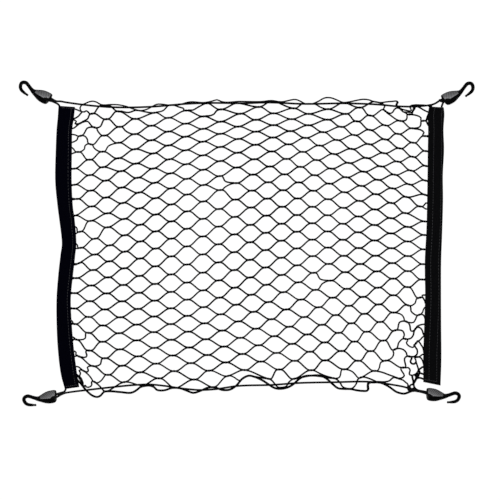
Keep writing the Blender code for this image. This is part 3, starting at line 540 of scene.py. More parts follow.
def smooth_path(points: Sequence[Vector], spacing: float, first_slope: Vector | None = None,
                last_slope: Vector | None = None) -> list[Vector]:
    """Points at an even spacing on a smooth curve through the given ones.

    Args:
        points: The points to pass, at least two.
        spacing: Rough distance between the points that come back.
        first_slope: Direction at the start, if it is given.
        last_slope: Direction at the end, if it is given.

    Returns:
        The curve's points, both ends included.
    """
    lengths = [(after - before).length for before, after in zip(points, points[1:])]
    slopes = []
    for here in range(len(points)):
        if here == 0:
            slopes.append(first_slope or (points[1] - points[0]) / lengths[0])
        elif here == len(points) - 1:
            slopes.append(last_slope or (points[-1] - points[-2]) / lengths[-1])
        else:
            back = (points[here] - points[here - 1]) / lengths[here - 1]
            ahead = (points[here + 1] - points[here]) / lengths[here]
            slopes.append((back * lengths[here] + ahead * lengths[here - 1])
                          / (lengths[here - 1] + lengths[here]))
    path = []
    for here, length in enumerate(lengths):
        steps = max(2, round(length / spacing))
        for step in range(steps):
            path.append(hermite(points[here], slopes[here] * length, points[here + 1],
                                slopes[here + 1] * length, step / steps))
    path.append(points[-1])
    return path


def raised(point: Point, height: float = 0.0) -> Vector:
    """A plan point at a height over the surface."""
    return Vector((point[0], point[1], height))


def fade(share: float) -> float:
    """Goes smoothly from 0 to 1 as the share does."""
    share = min(1.0, max(0.0, share))
    return share * share * (3 - 2 * share)


class Tubes:
    """Collects round strands and makes them one mesh, with U once round a strand and V in millimetres along."""

    def __init__(self) -> None:
        """Starts with no strands."""
        self.vertices: list[Vector] = []
        self.faces: list[tuple[int, ...]] = []
        self.uvs: list[Point] = []

    def add(self, path: Sequence[Vector], diameter: float, sides: int) -> None:
        """Adds one strand with closed ends.

        Args:
            path: The middle line, in millimetres.
            diameter: The strand's diameter.
            sides: Corners of the cross section.
        """
        base = len(self.vertices)
        travelled = [0.0]
        for before, after in zip(path, path[1:]):
            travelled.append(travelled[-1] + (after - before).length)
        side = None
        for here, middle in enumerate(path):
            ahead = (path[min(here + 1, len(path) - 1)] - path[max(here - 1, 0)]).normalized()
            if side is None:
                side = ahead.cross(Vector((0.0, 0.0, 1.0)))
            side = (side - ahead * side.dot(ahead)).normalized()
            rise = side.cross(ahead)
            for corner in range(sides):
                angle = math.tau * (corner + 0.5) / sides
                offset = side * math.cos(angle) + rise * math.sin(angle)
                self.vertices.append(middle + offset * diameter / 2)
        for ring in range(len(path) - 1):
            for corner in range(sides):
                following = (corner + 1) % sides
                low, high = base + ring * sides, base + (ring + 1) * sides
                self.faces.append((low + corner, high + corner, high + following, low + following))
                left, right = corner / sides, (corner + 1) / sides
                self.uvs += [(left, travelled[ring]), (left, travelled[ring + 1]),
                             (right, travelled[ring + 1]), (right, travelled[ring])]
        for ring, turned in ((0, False), (len(path) - 1, True)):
            cap = [base + ring * sides + corner for corner in range(sides)]
            self.faces.append(tuple(reversed(cap)) if turned else tuple(cap))
            self.uvs += [(corner / sides, travelled[ring]) for corner in range(sides)]

    def piece(self, name: str, material: bpy.types.Material) -> bpy.types.Object:
        """The strands as one object."""
        return mesh_piece(name, self.vertices, self.faces, self.uvs, material)


def mesh_piece(name: str, vertices: Sequence[Vector], faces: Sequence[tuple[int, ...]], uvs: Sequence[Point],
               material: bpy.types.Material) -> bpy.types.Object:
    """Makes a smooth shaded object and links it to the scene.

    Args:
        name: The piece's name.
        vertices: Corners in millimetres.
        faces: Vertex numbers of each face.
        uvs: One UV pair for each corner of each face, in the faces' order.
        material: Its finish.

    Returns:
        The new object.
    """
    mesh = bpy.data.meshes.new(name)
    mesh.from_pydata([vertex * MM for vertex in vertices], [], faces)
    layer = mesh.uv_layers.new(name="UVMap")
    layer.data.foreach_set("uv", np.array(uvs, np.float32).ravel())
    mesh.shade_smooth()
    mesh.materials.append(material)
    piece = bpy.data.objects.new(name, mesh)
    bpy.context.scene.collection.objects.link(piece)
    return piece


def declare(piece: bpy.types.Object, node: str | None = None) -> bpy.types.Object:
    """Tells the frame what a piece is, and logs it.

    Args:
        piece: The piece, which rides on the only body.
        node: The CAD node that it replaces, if there is one.

    Returns:
        The same piece.
    """
    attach(piece, BODY)
    if node:
        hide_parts(node)
    LOG.info("%s: %d faces", piece.name, len(piece.data.polygons))
    return piece


# ---- finishes --------------------------------------------------------------------------------------------
@dataclass(frozen=True)
class Finish:
    """What each finish has: its name, the two colours that its pattern runs between, and how it shines."""

    name: str
    dark: str
    light: str
    roughness: float
    specular: float

    def start(self) -> tuple[bpy.types.Material, bpy.types.NodeTree]:
        """Makes the material with the values that are even all over it.

        Returns:
            The material and its node tree.
        """
        material = bpy.data.materials.new(self.name)
        material.use_nodes = True
        shader = material.node_tree.nodes["Principled BSDF"]
        shader.inputs["Roughness"].default_value = self.roughness
        shader.inputs["Specular IOR Level"].default_value = self.specular
        return material, material.node_tree

    @staticmethod
    def plan(tree: bpy.types.NodeTree) -> bpy.types.Node:
        """The UV map in its parts: X runs across or round a piece, and Y along it in millimetres."""
        place = add_node(tree, "ShaderNodeUVMap", {"uv_map": "UVMap"})
        return add_node(tree, "ShaderNodeSeparateXYZ", inputs={0: place.outputs[0]})

    @staticmethod
    def ripple(tree: bpy.types.NodeTree, plan: bpy.types.Node, across: float, along: float) -> bpy.types.NodeSocket:
        """A sine wave over the surface.

        Args:
            tree: The material's node tree.
            plan: The UV map in its parts.
            across: Radians for each unit of X.
            along: Radians for each millimetre of Y.

        Returns:
            The wave, from -1 to 1.
        """
        turns = add_node(tree, "ShaderNodeMath", {"operation": "MULTIPLY"}, {0: plan.outputs["Y"], 1: along})
        phase = add_node(tree, "ShaderNodeMath", {"operation": "MULTIPLY_ADD"},
                         {0: plan.outputs["X"], 1: across, 2: turns.outputs[0]})
        return add_node(tree, "ShaderNodeMath", {"operation": "SINE"}, {0: phase.outputs[0]}).outputs[0]

    def dress(self, tree: bpy.types.NodeTree, tone: bpy.types.NodeSocket, relief: bpy.types.NodeSocket | None = None,
              strength: float = 0.0, depth_mm: float = 0.0) -> None:
        """Gives the shader its colour and its relief.

        Args:
            tree: The material's node tree.
            tone: 0 for the dark colour and 1 for the light one.
            relief: The height of the surface, if it isn't smooth.
            strength: How strongly the relief shows.
            depth_mm: How deep it is.
        """
        shader = tree.nodes["Principled BSDF"]
        colour = add_node(tree, "ShaderNodeMix", {"data_type": "RGBA"},
                          {0: tone, 6: linear(self.dark), 7: linear(self.light)})
        tree.links.new(colour.outputs[2], shader.inputs["Base Color"])
        if relief is not None:
            bump = add_node(tree, "ShaderNodeBump",
                            inputs={"Strength": strength, "Distance": depth_mm * MM, "Height": relief})
            tree.links.new(bump.outputs[0], shader.inputs["Normal"])


@dataclass(frozen=True)
class TwistedPolyesterTwine(Finish):
    """Spun-dyed polyester twine, knitted into the net: deep matt black with a fine slanting twist."""

    name: str = "spun_dyed_polyester_twine"
    dark: str = "#010102"
    light: str = "#060607"
    roughness: float = 0.85
    specular: float = 0.02
    turn_mm: float = 4.0        # one turn of the twist; drawn a little coarser than the real 2.5 mm so that it shows
    plies: int = 2
    fuzz: float = 900.0         # fibres that stand off the twine, about one to the millimetre

    def material(self) -> bpy.types.Material:
        """Builds the material.

        Returns:
            A material whose bump runs as a two-ply twist round each strand.
        """
        material, tree = self.start()
        twist = self.ripple(tree, self.plan(tree), self.plies * math.tau, math.tau / self.turn_mm)
        fuzz = add_node(tree, "ShaderNodeTexNoise", inputs={"Scale": self.fuzz, "Detail": 3.0})
        self.dress(tree, fuzz.outputs["Fac"], twist, strength=0.6, depth_mm=0.3)
        return material


@dataclass(frozen=True)
class WovenPolypropyleneTape(Finish):
    """Woven polypropylene webbing: flat ribs across the tape, a little sheen on their crowns."""

    name: str = "woven_polypropylene_tape"
    dark: str = "#030304"
    light: str = "#0c0c0d"
    roughness: float = 0.8
    specular: float = 0.006
    rib_mm: float = 1.6         # one weft rib
    warp_mm: float = 1.1        # one warp end
    wear: float = 60.0          # rubbed patches, about 15 mm across
    weave_share: float = 0.35   # of the weave in the colour, next to the wear

    def material(self) -> bpy.types.Material:
        """Builds the material.

        Returns:
            A material with a plain weave of ribs in its bump and colour.
        """
        material, tree = self.start()
        plan = self.plan(tree)
        weave = add_node(tree, "ShaderNodeMath", {"operation": "MULTIPLY"},
                         {0: self.ripple(tree, plan, math.pi / self.warp_mm, 0.0),
                          1: self.ripple(tree, plan, 0.0, math.pi / self.rib_mm)})
        worn = add_node(tree, "ShaderNodeTexNoise", inputs={"Scale": self.wear, "Detail": 4.0})
        tone = add_node(tree, "ShaderNodeMath", {"operation": "MULTIPLY_ADD", "use_clamp": True},
                        {0: weave.outputs[0], 1: self.weave_share, 2: worn.outputs["Fac"]})
        self.dress(tree, tone.outputs[0], weave.outputs[0], strength=0.5, depth_mm=0.4)
        return material


@dataclass(frozen=True)
class BraidedElasticCord(Finish):
    """Rubber cord in a braided polyester cover: crossing plaits with a soft grey sheen."""

    name: str = "braided_elastic_cord"
    dark: str = "#020203"
    light: str = "#101011"
    roughness: float = 0.6
    specular: float = 0.03
    plait_mm: float = 3.2       # one crossing along the cord
    plaits: int = 4             # round the cord, each way
    gain: float = 0.5           # of the braid in the colour
    ground: float = 0.2         # of the light colour between the plaits

    def material(self) -> bpy.types.Material:
        """Builds the material.

        Returns:
            A material whose bump shows two sets of plaits that cross.
        """
        material, tree = self.start()
        plan = self.plan(tree)
        left, right = (self.ripple(tree, plan, turns * math.tau, math.tau / self.plait_mm)
                       for turns in (self.plaits, -self.plaits))
        braid = add_node(tree, "ShaderNodeMath", {"operation": "MAXIMUM"}, {0: left, 1: right})
        tone = add_node(tree, "ShaderNodeMath", {"operation": "MULTIPLY_ADD", "use_clamp": True},
                        {0: braid.outputs[0], 1: self.gain, 2: self.ground})
        self.dress(tree, tone.outputs[0], braid.outputs[0], strength=0.6, depth_mm=0.3)
        return material


@dataclass(frozen=True)
class PolishedPolypropylene(Finish):
    """Injection moulded polypropylene off a polished mould wall: deep black, with a narrow grey highlight."""

    name: str = "moulded_polished_polypropylene"
    dark: str = "#010101"
    light: str = "#050506"
    roughness: float = 0.36
    specular: float = 0.016
    grain_mm: float = 0.6       # of the mould wall
    scuffs: float = 140.0       # rubbed spots, about 7 mm across
    scuff_roughness: float = 0.7    # how torn their borders are

    def material(self) -> bpy.types.Material:
        """Builds the material.

        Returns:
            A half matt plastic with a fine grain and lighter scuffs.
        """
        material, tree = self.start()
        scuffed = add_node(tree, "ShaderNodeTexNoise",
                           inputs={"Scale": self.scuffs, "Detail": 5.0, "Roughness": self.scuff_roughness})
        grain = add_node(tree, "ShaderNodeTexNoise", inputs={"Scale": 1 / (self.grain_mm * MM), "Detail": 2.0})
        self.dress(tree, scuffed.outputs["Fac"], grain.outputs["Fac"], strength=0.25, depth_mm=0.2)
        return material


@dataclass(frozen=True)
class ErodedPolypropyleneWithPaintedSheen(Finish):
    """Injection moulded polypropylene off a spark-eroded mould face: matt, with fine slanting flow ribs, in a grey of
    painted sheen.
    """

    name: str = "moulded_eroded_polypropylene_painted_sheen"
    # dark is the shaded grey of the face and light the lit one: painted shade and painted sheen on black plastic
    dark: str = "#161617"
    light: str = "#747476"
    roughness: float = 0.6
    specular: float = 0.3
    rib_mm: float = 3.4         # from one rib to the next
    slant_mm: float = 5.0       # that a rib shifts along the hook over half the width
    rib_share: float = 0.2      # of the ribs in the colour
    mottle: float = 420.0       # spots of the eroded face, about 2.5 mm across
    sheen_across: Span = Span(-0.75, 0.95, 0.66)    # painted sheen, from the lower border to the higher one
    sheen_along: Span = Span(27.0, 3.0, 0.45)       # painted sheen, in mm, towards the blunt end
    bevel_highlight: Span = Span(0.30, 0.12, 0.22)            # painted highlight: a bright line in from the higher border

    def material(self) -> bpy.types.Material:
        """Builds the material.

        Returns:
            A painted sheen: a grey that grows lighter towards the higher border and the blunt end; U runs across, V
                along in mm.
        """
        material, tree = self.start()
        plan = self.plan(tree)
        ribs = self.ripple(tree, plan, self.slant_mm * math.tau / self.rib_mm, math.tau / self.rib_mm)
        corner = add_node(tree, "ShaderNodeMath", {"operation": "MINIMUM"}, {0: plan.outputs["Y"], 1: PANEL_CORNER})
        cut = add_node(tree, "ShaderNodeMath", {"operation": "MULTIPLY_ADD"},
                       {0: corner.outputs[0], 1: PANEL_CHAMFER, 2: PANEL_HIGH - PANEL_CHAMFER * PANEL_CORNER})
        inset = add_node(tree, "ShaderNodeMath", {"operation": "SUBTRACT"}, {0: cut.outputs[0], 1: plan.outputs["X"]})
        # painted sheen across and along the panel, and the painted highlight in from its higher border
        across, along, bevel_highlight = (
            add_node(tree, "ShaderNodeMapRange", {"interpolation_type": "SMOOTHSTEP"},
                     {"Value": value, "From Min": span.start, "From Max": span.end, "To Max": span.gain}).outputs[0]
            for value, span in ((plan.outputs["X"], self.sheen_across), (plan.outputs["Y"], self.sheen_along),
                                (inset.outputs[0], self.bevel_highlight)))
        sheen = add_node(tree, "ShaderNodeMath", {"operation": "ADD"}, {0: across, 1: along})
        spots = add_node(tree, "ShaderNodeTexNoise", inputs={"Scale": self.mottle, "Detail": 3.0})
        # the painted sheen, broken up by the eroded face's spots
        mottled_sheen = add_node(tree, "ShaderNodeMath", {"operation": "MULTIPLY"},
                           {0: sheen.outputs[0], 1: spots.outputs["Fac"]})
        ribbed = add_node(tree, "ShaderNodeMath", {"operation": "MULTIPLY_ADD"},
                          {0: ribs, 1: self.rib_share, 2: mottled_sheen.outputs[0]})
        tone = add_node(tree, "ShaderNodeMath", {"operation": "ADD", "use_clamp": True},
                        {0: ribbed.outputs[0], 1: bevel_highlight})
        self.dress(tree, tone.outputs[0], ribs, strength=0.5, depth_mm=0.4)
        return material


@dataclass(frozen=True)
class BondedNylonThread(Finish):
    """Bonded nylon sewing thread: smooth, black, with a small highlight on each stitch."""

    name: str = "bonded_nylon_thread"
    dark: str = "#161617"
    light: str = "#303034"
    roughness: float = 0.4
    specular: float = 0.3
    filaments: float = 1200.0   # of the thread, a little under a millimetre

    def material(self) -> bpy.types.Material:
        """Builds the material.

        Returns:
            A smooth thread of uneven grey.
        """
        material, tree = self.start()
        filaments = add_node(tree, "ShaderNodeTexNoise", inputs={"Scale": self.filaments, "Detail": 2.0})
        self.dress(tree, filaments.outputs["Fac"])
        return material


@dataclass(frozen=True)
class OpalLightTable:
    """Opal acrylic that is lit from below: an even white on which black twine throws no visible shadow."""

    name: str = "opal_acrylic_light_table"
    colour: str = "#4d4d4d"
    roughness: float = 0.95
    glow: float = 0.95

    def material(self) -> bpy.types.Material:
        """Builds the material.

        Returns:
            An even surface that glows.
        """
        material = bpy.data.materials.new(self.name)
        material.use_nodes = True
        values = {"Base Color": linear(self.colour), "Roughness": self.roughness, "Specular IOR Level": 0.0,
                  "Emission Color": linear("#ffffff"), "Emission Strength": self.glow}
        for name, value in values.items():
            material.node_tree.nodes["Principled BSDF"].inputs[name].default_value = value
        return material


# ---- the cord --------------------------------------------------------------------------------------------
def hook_matrix(place: HookPlace) -> Matrix:
    """Hook axes in millimetres: X towards the curl, Y across the face on the higher side, Z out of the face.

    Args:
        place: Where the hook lies.

    Returns:
        The matrix that turns a point of the hook into one of the scene.
    """
    heading = math.radians(place.heading)
    ahead = Vector((math.cos(heading), math.sin(heading), 0.0))
    sideways = Vector((-math.sin(heading), math.cos(heading), 0.0)) * place.rolled
    normal = sideways * math.cos(HOOK_ROLL) + Vector((0.0, 0.0, 1.0)) * math.sin(HOOK_ROLL)
    rotation = Matrix((ahead, normal.cross(ahead), normal)).transposed().to_4x4()
    return Matrix.Translation((place.x, place.y, HOOK_HEIGHT)) @ rotation


def loop_in(hook: str, lower_side_first: bool, ends: tuple[float, float] = (4.6, -4.6)) -> list[Vector]:
    """The stretch of the cord's route inside a hook.

    Args:
        hook: The hook's node.
        lower_side_first: Whether the route comes in on the lower side of the hook.
        ends: Where the two legs leave the blunt end, from its middle towards the higher side.

    Returns:
        The points of the loop, in the route's order.
    """
    place = HOOKS[hook]
    matrix = hook_matrix(place)
    spots = [(LOOP_START, ends[0]), *LOOP_IN_HOOK, (LOOP_START, ends[1])]
    loop = [matrix @ Vector((along, -across * place.rolled, CORD_LEVEL)) for along, across in spots]
    return loop[::-1] if lower_side_first else loop


def top_route() -> list[Vector]:
    """From the fold of the left band through both top hooks into the fold of the right band.

    Returns:
        The points that the cord's middle passes.
    """
    return [Vector(point) for point in (
        (-336.0, 236.0, 3.0), (-336.0, 241.5, 3.0), (-336.8, 246.5, 3.2), (-339.5, 250.0, 4.6),
        (-343.6, 252.2, 7.0), (-350.2, 255.0, 10.5),
        *loop_in("hook_top_left", lower_side_first=False),
        (-347.4, 257.6, 8.4), (-342.2, 255.2, 5.8), (-336.4, 255.2, 3.8), (-325.5, 253.4, 2.2), (-318.1, 252.3, 1.8),
        (-288.4, 248.4, CORD_LOW), (-249.7, 244.9, CORD_HIGH), (-172.3, 245.4, CORD_LOW),
        (-105.7, 250.7, CORD_HIGH), (-66.0, 252.2, CORD_LOW), (-4.0, 251.6, CORD_HIGH), (36.6, 253.0, CORD_LOW),
        (103.0, 250.4, CORD_HIGH), (178.7, 251.5, CORD_LOW), (239.9, 249.1, CORD_LOW),
        (272.3, 246.1, CORD_HIGH),
        (326.3, 248.0, 1.8), (335.0, 249.6, 2.8), (343.4, 253.8, 6.2), (348.6, 257.4, 10.0),
        *loop_in("hook_top_right", lower_side_first=True),
        (353.6, 253.0, 8.4), (351.6, 248.6, 4.6), (350.6, 244.0, 3.1), (351.0, 239.5, 3.0),
        (351.8, 234.0, 3.0),
    )]


def bottom_route() -> list[Vector]:
    """From the fold of the left band through both bottom hooks to the inner edge of the right band.

    Returns:
        The points that the cord's middle passes.
    """
    return [Vector(point) for point in (
        (-326.6, -252.4, 3.0), (-325.8, -258.0, 3.0), (-325.9, -263.4, 3.0), (-328.4, -267.3, 4.6),
        (-334.0, -269.0, 7.4),
        *loop_in("hook_bottom_left", lower_side_first=True),
        (-335.0, -273.0, 11.4), (-327.2, -269.7, 8.2), (-317.0, -268.0, 4.0),
        (-289.3, -264.6, CORD_LOW), (-242.5, -259.2, CORD_HIGH), (-204.7, -255.6, CORD_LOW),
        (-174.1, -254.3, CORD_HIGH), (-152.0, -256.4, CORD_LOW), (-112.0, -262.0, CORD_HIGH),
        (-84.8, -264.3, CORD_LOW), (-58.5, -263.0, CORD_HIGH), (-19.3, -257.4, CORD_LOW),
        (46.6, -255.0, CORD_HIGH), (93.2, -251.8, CORD_LOW), (151.7, -250.4, CORD_HIGH),
        (234.5, -250.7, CORD_LOW), (262.0, -254.8, CORD_LOW), (288.5, -260.3, CORD_HIGH),
        (300.4, -265.2, 6.2), (313.0, -267.6, 9.8),
        *loop_in("hook_bottom_right", lower_side_first=False, ends=(0.8, -5.0)),
        (314.0, -265.8, 8.0), (307.4, -264.4, 4.8), (302.6, -260.6, 3.2), (300.4, -255.2, 2.2),
        (301.4, -249.4, 1.8), (304.8, -244.6, 1.8), (309.6, -242.4, 1.8), (314.6, -243.2, 1.9),
        (319.6, -245.4, 2.2),
    )]


@dataclass
class CordKnot:
    """The slip knot of the elastic cord and its wraps at the hooks, as short strands over its legs."""

    name: str = "elastic_cord_knots"
    diameter: float = CORD * 0.92   # pulled a little tighter than the cord
    sides: int = 10
    spacing: float = 0.8

    def build(self, material: bpy.types.Material) -> bpy.types.Object:
        """Makes the knots one piece.

        Args:
            material: The braided cover's finish.

        Returns:
            The knots' piece.
        """
        tubes = Tubes()
        for strand in KNOT_STRANDS:
            tubes.add(smooth_path([Vector(point) for point in strand], self.spacing), self.diameter, self.sides)
        return declare(tubes.piece(self.name, material))


@dataclass
class EdgeCord:
    """An elastic cord along one edge of the net, through a hook at each corner."""

    name: str
    node: str
    route: list[Vector]
    sides: int = 12
    spacing: float = 2.5

    def path(self) -> list[Vector]:
        """The cord's middle line, never below the surface.

        Returns:
            Its points in millimetres.
        """
        path = smooth_path(self.route, self.spacing)
        for point in path:
            point.z = max(point.z, CORD_LOW)
        return path

    def build(self, material: bpy.types.Material) -> bpy.types.Object:
        """Args:
            material: The braided cover's finish.

        Returns:
            The cord's piece.
        """
        path = self.path()
        tubes = Tubes()
        tubes.add(path, CORD, self.sides)
        piece = declare(tubes.piece(self.name, material), self.node)
        return piece


# ---- the net ---------------------------------------------------------------------------------------------
def edge_x(stations: Sequence[BandStation], y: float) -> float:
    """The x of a band's inner edge at y."""
    ys = [-station.inner_y for station in stations]
    return float(np.interp(-y, ys, [station.inner_x for station in stations]))


@dataclass
class Surroundings:
    """What the twines lie on, between and over: the surface, the bands and the two cords."""

    cords: list[list[Vector]]
    touch: float = 0.05         # by which a cord may press on a twine that runs under it
    crumple: float = 17.0       # from one rise to the next in a crumpled zone
    samples: np.ndarray = field(init=False)

    def __post_init__(self) -> None:
        """Keeps the cords' points in one array."""
        self.samples = np.array([tuple(point) for cord in self.cords for point in cord])

    def rest_height(self, point: Vector) -> float:
        """How far a twine is lifted off the surface by a band or a crumple.

        Args:
            point: A point of the plan.

        Returns:
            The lift in millimetres.
        """
        inside = max(edge_x(LEFT_BAND, point.y) - point.x, point.x - edge_x(RIGHT_BAND, point.y))
        lift = (TWINE_IN_BAND - TWINE / 2) * fade(1 + inside / BAND_RISE)
        for zone in CRUMPLES:
            distance = (point.x - zone.x) ** 2 + (point.y - zone.y) ** 2
            share = math.exp(-distance / zone.radius ** 2) * fade(-inside / BAND_RISE)
            lift += abs(noise.noise(raised(point) / self.crumple)) * 2 * zone.lift * share
        return lift

    def settled(self, point: Vector, diameter: float) -> Vector:
        """The point, lifted off the surface and over a cord that runs under it.

        Args:
            point: A twine's middle, with z as its height over the place that it rests on.
            diameter: The twine's diameter.

        Returns:
            The point where it lies.
        """
        apart = self.samples[:, :2] - np.array((point.x, point.y))
        distances = np.hypot(apart[:, 0], apart[:, 1])
        nearest = int(distances.argmin())
        cord_z = float(self.samples[nearest, 2])
        z = max(point.z + self.rest_height(point), diameter / 2)
        under = cord_z - CORD / 2 - diameter > -self.touch
        near = max(0.0, 1 - distances[nearest] / CORD_CLEAR)
        if near > 0 and not under:
            over = cord_z + CORD / 2 + diameter / 2
            z = max(z, z + (over - z) * math.sin(math.pi / 2 * near) ** 2)
        return Vector((point.x, point.y, z))


@dataclass
class Net:
    """The knotless net: twines that cross from band to band in waves and lie side by side in the joints."""

    surroundings: Surroundings
    sides: int = 6
    edge_sides: int = 8
    leg_spacing: float = 3.6
    leg_steps: int = 8
    leg_drop: float = 1.4       # how fast a leg comes down from its joints: 1 is not before its middle
    via_slope: float = 0.6      # how far a leg that is bent back keeps the direction of its joints
    joint_steps: int = 5
    slope_gain: float = 1.2     # of a joint over the slope between its neighbours
    edge_joint: float = 0.5     # length of a joint on the net's edge, as a share of the others
    entry_apart: float = 0.9    # of each of a joint's twines from its middle line, where they go into a band
    entry_depth: float = 2.0    # of the first point under the band
    entry_clear: float = 1.0    # that a turn before the band keeps from that point
    tucked_in: float = 5.0      # that the twine goes on from there
    plan: dict[Joint, Vector] = field(default_factory=dict)

    def __post_init__(self) -> None:
        """Works out where each joint lies."""
        for column in range(COLUMNS):
            rows = range(ROWS + 1) if column % 2 == 0 else [row + 0.5 for row in range(ROWS)]
            for row in rows:
                self.plan[column, row] = self.joint_middle(column, row)

    @staticmethod
    def joint_middle(column: int, row: float) -> Vector:
        """The plan position of a joint's middle.

        Args:
            column: The joint's column.
            row: Its row.

        Returns:
            A point on the surface.
        """
        if (column, row) in STRAYED:
            return raised(STRAYED[column, row])
        across = [smooth_at(PLAN_ROWS, [raised(joint) for joint in line.joints], row) for line in PLAN]
        return smooth_at([line.column for line in PLAN], across, column)

    def joint_direction(self, column: int, row: float) -> Vector:
        """The direction of a joint's length: it evens out the heights of its neighbours.

        Args:
            column: The joint's column.
            row: Its row.

        Returns:
            A unit vector from left to right.
        """
        if (column, row) in ASKEW:
            turn = math.radians(ASKEW[column, row])
            return Vector((math.cos(turn), math.sin(turn), 0.0))
        sides = []
        for step in (-1, 1):
            beside = [self.plan[column + step, row + half] for half in (-0.5, 0.5)
                      if (column + step, row + half) in self.plan]
            sides.append(sum(beside, Vector()) / len(beside) if beside else self.plan[column, row])
        across = sides[1] - sides[0]
        slope = max(-JOINT_LIMIT, min(JOINT_LIMIT, across.y / across.x * self.slope_gain))
        return Vector((1.0, slope, 0.0)).normalized()

    def through_joint(self, column: int, row: float, place: int) -> tuple[list[Vector], Vector]:
        """A twine's way through a joint, twisted once round its neighbour.

        Args:
            column: The joint's column.
            row: The joint's row.
            place: 1 for the twine on the far side of the pair and -1 for the near one.

        Returns:
            The points from left to right, and the joint's direction.
        """
        middle, ahead = self.plan[column, row], self.joint_direction(column, row)
        across = Vector((-ahead.y, ahead.x, 0.0))
        on_edge = row in (0, ROWS)
        half = JOINT_HALF * (self.edge_joint if on_edge else 1.0)
        points = []
        for step in range(self.joint_steps + 1):
            share = step / self.joint_steps
            turn = 0.0 if on_edge else math.tau * share
            offset = across * math.cos(turn) + Vector((0.0, 0.0, math.sin(turn)))
            centre = middle + ahead * half * (2 * share - 1) + Vector((0.0, 0.0, TWINE / 2 + PAIR))
            points.append(centre + offset * PAIR * place)
        return points, ahead

    def leg(self, joints: tuple[Joint, Joint], ends: tuple[Vector, Vector],
            slopes: tuple[Vector, Vector]) -> list[Vector]:
        """The free stretch of a twine between two joints.

        Args:
            joints: The left joint and the right one.
            ends: Where the twine leaves the one and comes to the other.
            slopes: The joints' directions.

        Returns:
            The points between the two ends.
        """
        start, end = ends
        if joints in BENT_LEGS:
            vias = [raised(point, TWINE / 2) for point in BENT_LEGS[joints]]
            slopes = [slope * self.via_slope for slope in slopes]
            return smooth_path([start, *vias, end], self.leg_spacing, *slopes)[1:-1]
        length = (end - start).length
        level = ((start + end) / 2).z - TWINE / 2
        path = []
        for step in range(1, self.leg_steps):
            point = hermite(start, slopes[0] * length * LEG_BEND, end, slopes[1] * length * LEG_BEND,
                            step / self.leg_steps)
            away = min((point - start).length, (point - end).length) / (length / 2)
            path.append(raised(point, TWINE / 2 + level * (1 - fade(away * self.leg_drop))))
        return path

    def entry(self, joint: Joint, place: int, joint_end: Vector) -> list[Vector]:
        """The way of a twine from an outermost joint into its band.

        Args:
            joint: The outermost joint.
            place: 1 for the twine on the far side of the pair and -1 for the near one.
            joint_end: Where the twine leaves the joint.

        Returns:
            The points outwards, the last two of them under the band.
        """
        stations, outwards = (LEFT_BAND, -1) if joint[0] == 0 else (RIGHT_BAND, 1)
        way = BAND_LEGS.get(joint, ((), ()))[0 if place > 0 else 1]
        y = way[-1][1] if way else joint_end.y + place * self.entry_apart
        x = edge_x(stations, y) + outwards * self.entry_depth
        turns = [point for point in way if (x - point[0]) * outwards > self.entry_clear]
        return [raised(point, TWINE / 2) for point in (*turns, (x, y), (x + outwards * self.tucked_in, y))]

    def wave(self, number: int, half: float) -> list[Vector]:
        """One twine from band to band; the last one ends at the lower right corner.

        Args:
            number: The row of its joints in the even columns.
            half: How far down its joints in the odd columns lie, 0.5 or -0.5.

        Returns:
            Its middle line on a flat, empty surface.
        """
        path: list[Vector] = []
        sideways = Vector((1.0, 0.0, 0.0))
        last_ahead, last_joint = sideways, None
        columns = COLUMNS - 2 if number == ROWS else COLUMNS
        for column in range(columns):
            odd = column % 2 == 1
            joint = (column, number + half if odd else number)
            place = (1 if half > 0 else -1) * (1 if odd else -1)
            points, ahead = self.through_joint(*joint, place)
            if last_joint is None:
                outside = self.entry(joint, place, points[0])[::-1]
                path += smooth_path([*outside, points[0]], self.leg_spacing, sideways, ahead)[:-1]
            else:
                path += self.leg((last_joint, joint), (path[-1], points[0]), (last_ahead, ahead))
            path += points
            last_ahead, last_joint = ahead, joint
        if number in (0, ROWS):
            return path
        outside = self.entry(last_joint, place, path[-1])
        return path + smooth_path([path[-1], *outside], self.leg_spacing, last_ahead, sideways)[1:]

    def build(self, material: bpy.types.Material) -> bpy.types.Object:
        """Makes all the twines one piece, which stands for the net's solid.

        Args:
            material: The twine's finish.

        Returns:
            The twines' piece.
        """
        tubes = Tubes()
        for number in range(ROWS + 1):
            for half in (-0.5, 0.5):
                if 0 <= number + half <= ROWS:
                    path = [self.surroundings.settled(point, TWINE) for point in self.wave(number, half)]
                    tubes.add(path, TWINE, self.sides)
        return declare(tubes.piece("net_twine", material), "net")

    def build_edges(self, material: bpy.types.Material) -> bpy.types.Object:
        """Makes the doubled twines of the top and bottom edges and the loose twines of the corners.

        Args:
            material: The twine's finish.

        Returns:
            The edge twines' piece.
        """
        tubes = Tubes()
        for points, diameter in (LooseTwine(TOP_EDGE, TOP_TWINE), LooseTwine(BOTTOM_EDGE, BOTTOM_TWINE), *LOOSE_TWINES):
            path = smooth_path([raised(point, diameter / 2) for point in points], self.leg_spacing)
            tubes.add([self.surroundings.settled(point, diameter) for point in path], diameter, self.edge_sides)
        return declare(tubes.piece("net_edge_twine", material), "net")


